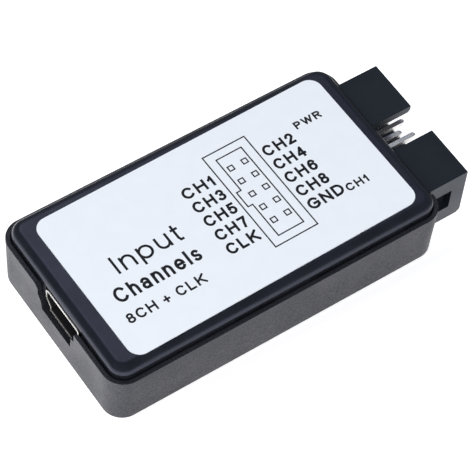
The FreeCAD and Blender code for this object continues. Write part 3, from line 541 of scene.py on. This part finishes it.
def dress_nodes():
    """Every CAD node's finish."""
    dress(moulded_plastic("case_grain", BLACK_CASE, CASE_SHEEN, grain=0.24 * MM,
                          grain_depth=0.04 * MM, fleck=0.2, roughness=0.45, wave_depth=0.0),
          "bottom_shell")
    dress(moulded_plastic("cover_satin", BLACK_COVER, COVER_SHEEN, grain=0.14 * MM,
                          grain_depth=0.003 * MM, fleck=0.03, roughness=0.28, wave_depth=0.03 * MM),
          "top_cover")
    dress(moulded_plastic("header_black", BLACK_HEADER, HEADER_SHEEN, grain=0.12 * MM,
                          grain_depth=0.006 * MM, fleck=0.05, roughness=0.36, wave_depth=0.01 * MM),
          "header_shroud")
    dress(moulded_plastic("connector_black", BLACK_HEADER, HEADER_SHEEN, grain=0.08 * MM,
                          grain_depth=0.004 * MM, fleck=0.05, roughness=0.40, wave_depth=0.0),
          "usb_insulator", "crystal_base")
    dress(label_sheet(), "front_label")
    dress(solder_mask("solder_mask", *MASK_OVER_LAMINATE), "circuit_board")
    dress(plated_metal("tin_wire", TIN_WHITE, TIN_LIGHT, roughness=0.16, brushed=(0.03, 1, 1),
                       hollow_grime_and_shade=0.0, line_depth=0.001 * MM, shine=0.93), "header_pins")
    dress(plated_metal("tin_leads", TIN_LIGHT, TIN_DARK, roughness=0.30, brushed=(1, 0.1, 1)),
          "controller_leads", "buffer_leads", "memory_leads", "regulator_leads", "crystal_leads",
          "tantalum_terminals")
    dress(plated_metal("nickel_sheet", *NICKEL, roughness=0.20, brushed=(0.04, 1, 1),
                       line_depth=0.001 * MM, socket=True), "usb_shell")
    dress(plated_metal("crystal_steel", *CRYSTAL_STEEL, roughness=0.26, brushed=(0.06, 1, 1)),
          "crystal_can")
    dress(plated_metal("gold_contacts", *GOLD, roughness=0.22, brushed=(0.05, 1, 1),
                       line_depth=0.001 * MM), "usb_contacts")
    dress(plated_metal("solder", *SOLDER, roughness=0.26, brushed=(1, 1, 1)),
          "header_solder", "chip_end_caps")
    dress(plain_finish("chip_epoxy", *CHIP_EPOXY, size=1.2 * MM, roughness=0.48,
                       grain_depth=0.01 * MM), *SILK_CHIPS)
    dress(plain_finish("resistor_glaze", *RESISTOR_GLAZE, size=0.5 * MM, roughness=0.2,
                       grain_depth=0.003 * MM), "chip_resistors")
    dress(plain_finish("capacitor_ceramic", *CERAMIC, size=0.5 * MM, roughness=0.45,
                       grain_depth=0.006 * MM), "ceramic_capacitors")
    dress(plain_finish("tantalum_epoxy", *TANTALUM_EPOXY, size=0.8 * MM, roughness=0.42,
                       grain_depth=0.006 * MM), "tantalum_capacitors")
    dress(plain_finish("fuse_coating", *FUSE_COATING, size=0.6 * MM, roughness=0.4,
                       grain_depth=0.006 * MM), "usb_fuse")
    dress(plain_finish("lens_epoxy", *LENS_EPOXY, size=0.5 * MM, roughness=0.08,
                       grain_depth=0.002 * MM, Transmission_Weight=0.7), "power_led", "channel_led")
    dress(plain_finish("lamp_laminate", *LAMP_LAMINATE, size=0.5 * MM, roughness=0.5,
                       grain_depth=0.004 * MM), "led_carriers")


# ---------------------------------------------------------------- mesh helpers

def piece(name, mesh, material, body):
    """Puts a finished mesh in the scene, riding on a CAD body."""
    made = bpy.data.objects.new(name, mesh)
    bpy.context.scene.collection.objects.link(made)
    mesh.materials.clear()
    mesh.materials.append(material)
    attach(made, body)
    return made


def mitred_ring(outline, width):
    """Inner and outer closed loops, half a line's width each side of a closed outline."""
    count = len(outline)
    loops = ([], [])
    for index, corner in enumerate(outline):
        before = (corner - outline[index - 1]).normalized()
        after = (outline[(index + 1) % count] - corner).normalized()
        bisector = Vector((-(before.y + after.y), before.x + after.x)).normalized()
        reach = width / 2 / bisector.dot(Vector((-before.y, before.x)))
        loops[0].append(corner + bisector * reach)
        loops[1].append(corner - bisector * reach)
    return loops


def add_ring(sheet, outline, width, height):
    """Raised line of the given width and height along a closed outline on Z = 0."""
    inner, outer = mitred_ring(outline, width)
    levels = []
    for level in (0.0, height):
        levels.append([
            [sheet.verts.new((*point, level)) for point in loop] for loop in (inner, outer)])
    (low_in, low_out), (top_in, top_out) = levels
    around = (top_in, top_out, low_out, low_in, top_in)
    for index in range(len(outline)):
        after = (index + 1) % len(outline)
        for first, second in zip(around, around[1:]):
            sheet.faces.new((first[index], first[after], second[after], second[index]))


def rectangle(x_range, y_range):
    """Corners of an upright rectangle, counterclockwise."""
    (left, right), (low, high) = x_range, y_range
    return [Vector(corner) for corner in ((left, low), (right, low), (right, high), (left, high))]


def bmesh_to_mesh(sheet, name, transform):
    """Mesh from a bmesh, in the row frame, with its normals outward."""
    bmesh.ops.recalc_face_normals(sheet, faces=sheet.faces)
    mesh = bpy.data.meshes.new(name)
    sheet.to_mesh(mesh)
    sheet.free()
    mesh.transform(transform)
    return mesh


# ---------------------------------------------------------------- print on the label

def label_frame():
    """From millimetres on the label to the row frame."""
    low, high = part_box("front_label")
    centre = (low + high) / 2
    centre.z = high.z
    return Matrix.Translation(centre) @ Matrix.Rotation(LABEL_TURN, 4, "Z") @ Matrix.Scale(MM, 4)


def arc(x, y, reach_x, reach_y, start, end):
    """Points along part of an ellipse, from start to end in degrees."""
    steps = max(3, round(abs(end - start) / ARC_STEP))
    angles = [math.radians(start + (end - start) * step / steps) for step in range(steps + 1)]
    return [(x + reach_x * math.cos(a), y + reach_y * math.sin(a)) for a in angles]


# Plain letters as (width, strokes). A stroke is a run of points in a box from 0 to 1 each way,
# where 1 is the height of a capital, and the width is in the same units.
BOWL = [(0, 1), (0.55, 1), *arc(0.55, 0.745, 0.45, 0.255, 80, -80), (0.55, 0.49), (0, 0.49)]
STEM = [(0, 0), (0, 1)]
LETTERS = {
    " ": (0.25, []),
    "+": (0.62, [[(0, 0.42), (1, 0.42)], [(0.5, 0.1), (0.5, 0.74)]]),
    "1": (0.42, [[(0.85, 0), (0.85, 1), (0.6, 0.84), (0, 0.68)]]),
    "2": (0.66, [[*arc(0.5, 0.72, 0.47, 0.28, 170, -25), (0.02, 0), (1, 0)]]),
    "3": (0.66, [arc(0.48, 0.76, 0.44, 0.24, 155, -88), arc(0.48, 0.26, 0.5, 0.26, 88, -155)]),
    "4": (0.70, [[(0.74, 0), (0.74, 1), (0, 0.28), (1, 0.28)]]),
    "5": (0.66, [[(0.92, 1), (0.18, 1), (0.1, 0.5)], arc(0.47, 0.32, 0.52, 0.32, 135, -155)]),
    "6": (0.66, [arc(0.5, 0.31, 0.5, 0.31, 0, 360), arc(0.55, 0.45, 0.55, 0.55, 38, 190)]),
    "7": (0.66, [[(0, 1), (1, 1), (0.62, 0.5), (0.42, 0)]]),
    "8": (0.66, [arc(0.5, 0.765, 0.42, 0.235, 0, 360), arc(0.5, 0.27, 0.5, 0.27, 0, 360)]),
    "C": (0.84, [arc(0.52, 0.5, 0.52, 0.5, 42, 318)]),
    "D": (0.82, [[*STEM, (0.4, 1), *arc(0.4, 0.5, 0.6, 0.5, 80, -80), (0.4, 0), (0, 0), (0, 0.1)]]),
    "G": (0.90, [[*arc(0.52, 0.5, 0.52, 0.5, 42, 318), (0.98, 0.2), (0.98, 0.46), (0.58, 0.46)]]),
    "H": (0.80, [STEM, [(1, 0), (1, 1)], [(0, 0.53), (1, 0.53)]]),
    "I": (0.0, [STEM]),
    "K": (0.84, [STEM, [(1, 1), (0, 0.36)], [(0.36, 0.6), (1, 0)]]),
    "L": (0.64, [[(0, 1), (0, 0), (1, 0)]]),
    "N": (0.80, [STEM, [(1, 0), (1, 1)], [(0, 1), (1, 0)]]),
    "P": (0.76, [STEM, BOWL]),
    "R": (0.82, [STEM, BOWL, [(0.5, 0.49), (1, 0)]]),
    "W": (1.25, [[(0, 1), (0.26, 0), (0.5, 1), (0.74, 0), (1, 1)]]),
    "a": (0.62, [[*arc(0.48, 0.5, 0.44, 0.22, 155, 0), (0.92, 0)],
                 arc(0.46, 0.2, 0.46, 0.2, 0, 360)]),
    "e": (0.66, [[(0.03, 0.37), *arc(0.5, 0.36, 0.5, 0.36, 2, 322)]]),
    "h": (0.60, [STEM, [*arc(0.5, 0.38, 0.5, 0.34, 180, 0), (1, 0)]]),
    "l": (0.0, [STEM]),
    "n": (0.60, [[(0, 0), (0, 0.72)], [*arc(0.5, 0.38, 0.5, 0.34, 180, 0), (1, 0)]]),
    "p": (0.66, [[(0, -0.26), (0, 0.72)], arc(0.5, 0.36, 0.5, 0.36, 0, 360)]),
    "s": (0.56, [[*arc(0.5, 0.535, 0.44, 0.185, 35, 265),
                  *arc(0.5, 0.175, 0.47, 0.175, 85, -150)]]),
    "t": (0.34, [[(0.35, 0.95), (0.35, 0.16), (0.55, 0), (0.95, 0)], [(0, 0.72), (0.95, 0.72)]]),
    "u": (0.60, [[(1, 0), (1, 0.72)], [(0, 0.72), *arc(0.5, 0.34, 0.5, 0.34, 180, 360)]]),
}


def mitre(corner, before, after, half):
    """Filling of the outer side of a bend between two directions, or nothing where they line up."""
    turn = before.x * after.y - before.y * after.x
    if abs(turn) < STRAIGHT_TURN:
        return []
    reach = math.copysign(half, -turn)
    first = Vector((-before.y, before.x)) * reach
    second = Vector((-after.y, after.x)) * reach
    tip = (first + second) / max(SHARPEST_BEND, 1 + before.dot(after))
    polygon = [corner, corner + first, corner + tip, corner + second]
    return [polygon if turn > 0 else polygon[::-1]]


def ribbon(points, half):
    """Convex polygons along a run of points, half each side, mitred at bends, with squared ends."""
    closed = (points[0] - points[-1]).length < half * 0.1
    runs = list(zip(points, points[1:]))
    ways = [(end - start).normalized() for start, end in runs]
    polygons = []
    for index, ((start, end), way) in enumerate(zip(runs, ways)):
        side = Vector((-way.y, way.x)) * half
        low = start if closed or index > 0 else start - way * half
        high = end if closed or index < len(runs) - 1 else end + way * half
        polygons.append([low + side, low - side, high - side, high + side])
        if closed or index > 0:
            polygons.extend(mitre(start, ways[index - 1], way, half))
    return polygons


def held_within(polygon, low, high):
    """A convex polygon cut to the box between two corners."""
    for axis in (0, 1):
        for limit, sign in ((low[axis], 1), (high[axis], -1)):
            kept = []
            for index, point in enumerate(polygon):
                before = polygon[index - 1]
                depth, depth_before = sign * (point[axis] - limit), sign * (before[axis] - limit)
                if depth * depth_before < 0:
                    kept.append(before.lerp(point, depth_before / (depth_before - depth)))
                if depth >= 0:
                    kept.append(point)
            polygon = kept
    return polygon


def word(text, left, right, baseline, cap_height, weight):
    """Polygons of a printed word stretched from left to right, with strokes of the given weight."""
    half = weight / 2
    widths = [max(LETTERS[letter][0] * cap_height, weight) for letter in text]
    stroke_height = cap_height - weight
    gap = LETTER_GAP * cap_height
    spread = (right - left) / (sum(widths) + gap * (len(text) - 1))
    polygons = []
    for letter, natural in zip(text, widths):
        width = max(natural * spread, weight)
        low = Vector((left, baseline - LETTER_DESCENT * cap_height))
        high = Vector((left + width, baseline + cap_height))
        for stroke in LETTERS[letter][1]:
            run = [
                Vector((left + half + x * (width - weight), baseline + half + y * stroke_height))
                for x, y in stroke
            ]
            pieces = (held_within(polygon, low, high) for polygon in ribbon(run, half))
            polygons.extend(polygon for polygon in pieces if len(polygon) > 2)
        left += (natural + gap) * spread
    return polygons


def add_flat_union(sheet, polygons, height):
    """Adds overlapping flat polygons as one raised layer, without doubled faces."""
    corners = [corner for polygon in polygons for corner in polygon]
    faces = []
    for polygon in polygons:
        start = sum(len(face) for face in faces)
        faces.append(list(range(start, start + len(polygon))))
    points, _, cells, _, _, origins = delaunay_2d_cdt(corners, [], faces, 1, MERGE_DISTANCE)
    cells = [cell for cell, origin in zip(cells, origins) if origin]
    levels = [[sheet.verts.new((*point, level)) for point in points] for level in (0.0, height)]
    bottom, top = levels
    rim = {}
    for cell in cells:
        sheet.faces.new([top[corner] for corner in cell])
        sheet.faces.new([bottom[corner] for corner in reversed(cell)])
        rim.update({pair: True for pair in zip(cell, cell[1:] + cell[:1])})
    for first, second in rim:
        if (second, first) not in rim:
            sheet.faces.new((top[first], bottom[first], bottom[second], top[second]))
    loose = [vert for vert in sheet.verts if not vert.link_faces]
    bmesh.ops.delete(sheet, geom=loose, context="VERTS")


def printed(name, words, outlines=()):
    """One print piece from its words and closed outlines."""
    sheet = bmesh.new()
    for details in words:
        add_flat_union(sheet, word(*details), INK_THICKNESS)
    for outline in outlines:
        add_ring(sheet, outline, DIAGRAM_LINE, INK_THICKNESS)
    mesh = bmesh_to_mesh(sheet, name, label_frame())
    return piece(name, mesh, INK, "cover")


def print_legends():
    """Channel names down both sides of the diagram."""
    words = []
    for left, legends in ((LEFT_LEGEND_X, LEFT_LEGENDS), (RIGHT_LEGEND_X, RIGHT_LEGENDS)):
        for row, text in enumerate(legends):
            baseline = LEGEND_TOP_BASELINE - row * LEGEND_PITCH
            width = GND_WIDTH if text == "GND" else LEGEND_WIDTH
            words.append((text, left, left + width, baseline, LEGEND_HEIGHT, LEGEND_WEIGHT))
    printed("print_channel_names", words)


def print_titles():
    """Generic title and the small words beside the lamps."""
    printed("print_title", TITLE_WORDS)
    printed("print_lamp_names", LAMP_WORDS)


def print_diagram():
    """Plan of the keyed connector with its ten pins."""
    (inner_left, inner_right), (low, high) = SOCKET_X, SOCKET_Y
    key_low, key_high = KEY_Y
    keyed = [Vector(corner) for corner in (
        (inner_left, low), (inner_right, low), (inner_right, high), (inner_left, high),
        (inner_left, key_high), (KEY_X, key_high), (KEY_X, key_low), (inner_left, key_low))]
    outlines = [rectangle(OUTLINE_X, OUTLINE_Y), keyed]
    half = PIN_MARK_SIDE / 2
    for x in PIN_MARK_X:
        for row in range(PIN_MARK_ROWS):
            y = PIN_MARK_TOP - row * PIN_MARK_PITCH
            outlines.append(rectangle((x - half, x + half), (y - half, y + half)))
    printed("print_connector_plan", [], outlines)


# ---------------------------------------------------------------- the board's copper and legend

def solids(name):
    """Corners, in millimetres, of each separate solid of a CAD node."""
    sheet = bmesh.new()
    sheet.from_mesh(nodes[name].data)
    bmesh.ops.remove_doubles(sheet, verts=sheet.verts, dist=0.001 * MM)
    sheet.verts.ensure_lookup_table()
    sheet.verts.index_update()
    seen = [False] * len(sheet.verts)
    found = []
    for first in sheet.verts:
        if seen[first.index]:
            continue
        seen[first.index] = True
        waiting = [first]
        corners = []
        while waiting:
            vert = waiting.pop()
            corners.append(vert.co / MM)
            for edge in vert.link_edges:
                other = edge.other_vert(vert)
                if not seen[other.index]:
                    seen[other.index] = True
                    waiting.append(other)
        found.append(corners)
    sheet.free()
    return found


def ranges(corners):
    """Extent of some corners in X and in Y."""
    return tuple((min(c[axis] for c in corners), max(c[axis] for c in corners)) for axis in (0, 1))


def feet(name):
    """Extents of the places where a node's solids stand on the board, from low X to high X."""
    standing = []
    for corners in solids(name):
        low = [corner for corner in corners if abs(corner.z - BOARD_TOP) < FOOT_DEPTH]
        if low:
            standing.append(ranges(low))
    return sorted(standing)


def middle(extent):
    return Vector([(low + high) / 2 for low, high in extent])


def long_axis(extent):
    """0 or 1 for the axis along which an extent is longer."""
    spans = [high - low for low, high in extent]
    return spans.index(max(spans))


def disc(centre, radius):
    """Corners of a round flat patch."""
    return [Vector(point) for point in arc(centre.x, centre.y, radius, radius, 0, 360)[:-1]]


def grown(extent, short, long):
    """Extent widened at both ends: by short across its shorter side, by long along its longer."""
    reach = [long if axis == long_axis(extent) else short for axis in (0, 1)]
    return [(low - more, high + more) for (low, high), more in zip(extent, reach)]


class BoardArt:
    """Pads, tracks, vias and legend lines on top of the circuit board, in millimetres."""

    def __init__(self):
        self.pads = []
        self.tracks = []
        self.vias = []
        self.lines = []
        names = (*TALL_PARTS, *PAD_GROWTH)
        self.taken = [ranges(corners) for name in names for corners in solids(name)]
        self.taken += [[(c - TUBE_REACH, c + TUBE_REACH) for c in place] for place in POST_PLACES]
        self.edge = ranges(solids("circuit_board")[0])

    def is_clear(self, place, reach):
        """Whether a spot on the board keeps its distance from every part and from the edge."""
        for extent in self.taken:
            if all(low - reach < c < high + reach for (low, high), c in zip(extent, place)):
                return False
        inset = 2 * reach
        return all(low + inset < c < high - inset for (low, high), c in zip(self.edge, place))

    def pad(self, extent, short, long):
        low, high = zip(*self.edge)
        self.pads.append(held_within(rectangle(*grown(extent, short, long)), low, high))

    def track(self, *points, width=TRACK_WIDTH):
        run = [Vector(point) for point in points]
        self.tracks.extend(ribbon(run, width / 2))

    def escape(self, start, direction, reaches, width=TRACK_WIDTH):
        """Track from a pad to a via at the first of some distances where there is room."""
        for reach in reaches:
            end = start + direction * reach
            if self.is_clear(end, VIA_RADIUS + VIA_CLEARANCE):
                self.track(start, end, width=width)
                self.vias.append(end)
                return

    def escapes(self, leads, chip):
        """Short tracks outward from a chip's leads, long and short by turns."""
        centre = middle(ranges([corner for corners in solids(chip) for corner in corners]))
        for index, extent in enumerate(feet(leads)):
            axis = long_axis(extent)
            start = middle(extent)
            direction = Vector((0, 0))
            direction[axis] = math.copysign(1, start[axis] - centre[axis])
            self.escape(start, direction, LONG_FIRST if index // 2 % 2 else SHORT_FIRST)

    def end_escapes(self, bodies):
        """Tracks from both ends of small two-ended parts."""
        for corners in solids(bodies):
            extent = ranges(corners)
            axis = long_axis(extent)
            for side in (-1, 1):
                direction = Vector((0, 0))
                direction[axis] = side
                start = middle(extent) + direction * CAP_END_REACH
                self.escape(start, direction, CAP_VIA_REACHES, CAP_TRACK_WIDTH)

    def bridges(self, starts, ends, limit):
        """Tracks between pads that face each other across X, where their Y is within a limit."""
        for start in map(middle, starts):
            end = min(map(middle, ends), key=lambda place: abs(place.y - start.y))
            if abs(end.y - start.y) < limit:
                self.track(start, end)

    def frame_line(self, extent, short, long):
        """Legend outline around a part."""
        loop = rectangle(*grown(extent, short, long))
        self.lines.extend(ribbon([*loop, loop[0]], SILK_LINE / 2))

    def build(self, name, polygons, height, material):
        """One flat piece on the board from overlapping polygons."""
        sheet = bmesh.new()
        add_flat_union(sheet, polygons, height)
        place = Matrix.Translation((0, 0, BOARD_TOP * MM)) @ Matrix.Scale(MM, 4)
        piece(name, bmesh_to_mesh(sheet, name, place), material, "base")


def tab_pads(art):
    """Pads for the four tabs that hold the socket down."""
    (mouth, rear), (low, high) = ranges(solids("usb_shell")[0])
    length, width = TAB_PAD
    for x in (mouth + TAB_FROM_MOUTH, rear - TAB_FROM_REAR):
        for y in (low, high - width):
            art.pad(((x, x + length), (y, y + width)), *TAB_PAD_GROWTH)


def route_inputs(art, controller_edge):
    """Tracks from the header through the series resistors and the buffer to the controller."""
    buffer = middle(ranges(solids("buffer_chip")[0]))
    buffer_feet = feet("buffer_leads")
    for foot in map(middle, buffer_feet):
        if foot.x < buffer.x:
            art.track(foot, (controller_edge - UNDER_CHIP, foot.y))
    ends = feet("chip_end_caps")
    series_x = middle(ranges(solids("header_solder")[0])).x - SERIES_TO_HEADER
    inner = [end for end in ends if series_x - SERIES_HALF_LENGTH < middle(end).x < series_x]
    outer = [end for end in ends if series_x < middle(end).x < series_x + SERIES_HALF_LENGTH]
    facing = [extent for extent in buffer_feet if middle(extent).x > buffer.x]
    art.bridges(inner, facing, BUFFER_BRIDGE_LIMIT)
    art.bridges(outer, feet("header_solder"), HEADER_BRIDGE_LIMIT)


def route_usb(art, controller_edge):
    """The data pair from the socket's middle contacts to the controller, and the others' vias."""
    contacts = sorted(map(middle, feet("usb_contacts")), key=lambda place: place.y)
    power, minus, plus, identity, ground = contacts
    pair_y = (minus.y + plus.y) / 2
    for contact, offset in ((minus, -PAIR_HALF_GAP), (plus, PAIR_HALF_GAP)):
        y = pair_y + offset
        lead_out = contact.x + PAIR_LEAD_OUT
        bend = lead_out + abs(y - contact.y)
        art.track(contact, (lead_out, contact.y), (bend, y), (controller_edge + UNDER_CHIP, y))
    for contact in (power, identity, ground):
        art.escape(contact, Vector((1, 0)), POWER_VIA_REACHES, POWER_TRACK_WIDTH)


def route_supply(art):
    """Wide track from the fuse to the regulator, and vias at its leads."""
    fuse = middle(ranges(solids("usb_fuse")[0]))
    leads = [middle(extent) for extent in feet("regulator_leads")]
    start = (fuse.x + FUSE_PAD_REACH, fuse.y)
    corner = (leads[0].x - SUPPLY_CORNER, fuse.y)
    art.track(start, corner, leads[0], width=SUPPLY_TRACK_WIDTH)
    for lead in (leads[0], leads[2], leads[3]):
        art.escape(lead, Vector((0, -1)), REGULATOR_VIA_REACHES, REGULATOR_TRACK_WIDTH)


def route_board(art):
    """Pads under every foot, and the tracks that leave them."""
    for name, growth in PAD_GROWTH.items():
        for extent in feet(name):
            art.pad(extent, *growth)
    tab_pads(art)
    art.escapes("controller_leads", "controller_chip")
    art.escapes("memory_leads", "memory_chip")
    art.end_escapes("ceramic_capacitors")
    art.end_escapes("chip_resistors")
    (controller_low, controller_high), _ = ranges(solids("controller_chip")[0])
    route_inputs(art, controller_high)
    route_usb(art, controller_low)
    route_supply(art)


def letter_board(art):
    """White outlines round the parts, and a dot by the first pin of each chip."""
    for name, gaps in SILK_GAPS.items():
        for corners in solids(name):
            art.frame_line(ranges(corners), *gaps)
    for name in SILK_CHIPS:
        extent = ranges(solids(name)[0])
        along = long_axis(extent)
        across = 1 - along
        for end, sign in zip(extent[along], (-1, 1)):
            run = []
            for side in extent[across]:
                point = Vector((0, 0))
                point[along] = end + sign * CHIP_LINE_GAP
                point[across] = side
                run.append(point)
            art.lines.extend(ribbon(run, SILK_LINE / 2))
        corner = Vector([low for low, high in extent])
        corner[along] -= FIRST_PIN_DOT_GAP
        art.lines.append(disc(corner, FIRST_PIN_DOT_RADIUS))


def board_art():
    """Every flat piece on the board's top."""
    art = BoardArt()
    route_board(art)
    letter_board(art)
    rings = []
    for via in art.vias:
        loop = disc(via, VIA_RADIUS - VIA_RING_WIDTH / 2)
        rings.extend(ribbon([*loop, loop[0]], VIA_RING_WIDTH / 2))
    holes = [disc(via, VIA_HOLE_RADIUS) for via in art.vias]
    tinned = nodes["chip_end_caps"].material_slots[0].material
    covered = solder_mask("masked_copper", *MASK_OVER_COPPER)
    legend = plain_finish("silk_ink", *SILK_INK, size=0.6 * MM, roughness=0.55,
                          grain_depth=0.004 * MM)
    drilled = plain_finish("via_hole", *DRILLED_HOLE, size=0.3 * MM, roughness=0.5,
                           grain_depth=0.002 * MM)
    art.build("board_pads", art.pads, PAD_HEIGHT, tinned)
    art.build("board_tracks", art.tracks, TRACK_HEIGHT, covered)
    art.build("board_vias", rings, VIA_RING_HEIGHT, tinned)
    art.build("board_via_holes", holes, VIA_HOLE_HEIGHT, drilled)
    art.build("board_legend", art.lines, SILK_HEIGHT, legend)


# ---------------------------------------------------------------- studio

def studio_floor():
    """Plain pale lit floor that runs past the picture on every side, with painted shade along the
    -Y wall, a painted pool of light round the object and a painted dark reflection beyond it.
    """
    finish = Finish("studio_floor")
    path = finish.node("ShaderNodeLightPath")
    # Painted dark reflection: the far floor beyond the object turns dark for mirror rays only
    beyond = finish.ramp(finish.toward(*BEYOND_DIRECTION), *FLOOR_BEYOND)
    long_ray = finish.ramp(path.outputs["Ray Length"], *FLOOR_LONG_RAY)
    far_image = finish.math("MULTIPLY", beyond, long_ray)
    mirrored = finish.math("MULTIPLY", path.outputs["Is Glossy Ray"], far_image)
    tone = finish.ramp(finish.noise(0.3, 2), *NOISE_SPREAD)
    pale = finish.mix(tone, *FLOOR_PALE)
    finish.set("Base Color", finish.mix(mirrored, pale, FLOOR_MIRRORED))
    finish.set("Roughness", 0.8)
    finish.set("Emission Color", colour(1, 1, 1))
    radius = finish.node("ShaderNodeVectorMath")
    radius.operation = "LENGTH"
    finish.feed(radius.inputs[0], finish.place)
    distance = radius.outputs["Value"]
    # Painted shade along the -Y wall, and a painted pool of light that fades with distance
    near = finish.ramp(finish.toward(0, -1, 0), *FLOOR_DIM_BEFORE_WALL)
    right = finish.ramp(finish.toward(1, 0, 0), *FLOOR_DIM_FROM_X)
    close = finish.ramp(distance, *FLOOR_DIM_REACH, 1.0, 0.0)
    shaded = finish.math("MULTIPLY", finish.math("MULTIPLY", near, right), close)
    strength = finish.ramp(shaded, 0.0, 1.0, FLOOR_BRIGHT, FLOOR_DIM)
    pool = finish.ramp(distance, *FLOOR_POOL_REACH, 1.0, FLOOR_POOL_FAR)
    glow = finish.math("MULTIPLY", strength, pool)
    direct = finish.math("SUBTRACT", 1.0, mirrored)
    finish.set("Emission Strength", finish.math("MULTIPLY", glow, direct))
    finish.clear_from_behind()
    sheet = bmesh.new()
    bmesh.ops.create_grid(sheet, x_segments=8, y_segments=8, size=FLOOR_HALF)
    mesh = bmesh_to_mesh(sheet, "floor", Matrix.Translation((0, 0, -FLOOR_GAP)))
    mesh.materials.append(finish.material)
    floor = bpy.data.objects.new("floor", mesh)
    bpy.context.scene.collection.objects.link(floor)


def studio_sky():
    """Soft surroundings: grey low down, darker above, bluer beyond the object, and a window."""
    world = bpy.data.worlds.new("studio")
    world.use_nodes = True
    network = Network(world.node_tree)
    facing = network.node("ShaderNodeTexCoord").outputs["Generated"]
    height = network.along(facing, Vector((0, 0, 1)))
    beyond = network.ramp(network.along(facing, BEYOND_DIRECTION), *BEYOND_SPREAD)
    low = network.mix(beyond, SKY_LOW_NEAR, SKY_LOW_BEYOND)
    high = network.mix(beyond, SKY_OVERHEAD, SKY_BEYOND)
    sky = network.mix(network.ramp(height, *SKY_RISE), low, high)
    patch = network.ramp(network.along(facing, WINDOW_DIRECTION.normalized()), *WINDOW_SPREAD)
    sky = network.mix(patch, sky, SKY_WINDOW)
    network.feed(world.node_tree.nodes["Background"].inputs["Color"], sky)
    bpy.context.scene.world = world


def softbox(name, direction, distance, size, power):
    """Square light that faces the object from a direction and leaves no mirror image of itself."""
    light = bpy.data.lights.new(name, "AREA")
    light.shape = "SQUARE"
    light.size = size
    light.energy = power
    holder = bpy.data.objects.new(name, light)
    back = Vector(direction).normalized()
    holder.location = back * distance
    holder.rotation_mode = "QUATERNION"
    holder.rotation_quaternion = (-back).to_track_quat("-Z", "Y")
    holder.visible_glossy = False
    bpy.context.scene.collection.objects.link(holder)


def studio_camera():
    """Long lens from above the USB end's near corner."""
    azimuth, elevation = CAMERA_AZIMUTH, CAMERA_ELEVATION
    back = Vector((
        math.sin(azimuth) * math.cos(elevation),
        -math.cos(azimuth) * math.cos(elevation),
        math.sin(elevation)))
    camera = bpy.data.cameras.new("camera")
    camera.lens = CAMERA_LENS
    camera.clip_start, camera.clip_end = CAMERA_CLIP
    holder = bpy.data.objects.new("camera", camera)
    holder.location = CAMERA_AIM + back * CAMERA_DISTANCE
    holder.rotation_mode = "QUATERNION"
    holder.rotation_quaternion = (
        (-back).to_track_quat("-Z", "Y") @ Quaternion((0, 0, 1), CAMERA_ROLL))
    bpy.context.scene.collection.objects.link(holder)
    bpy.context.scene.camera = holder


dress_nodes()
INK = printed_ink()
print_legends()
print_titles()
print_diagram()
board_art()

studio_floor()
studio_sky()
softbox("key_softbox", KEY_DIRECTION, KEY_DISTANCE, KEY_SIZE, KEY_POWER)
studio_camera()
bpy.context.scene.view_settings.view_transform = "Standard"
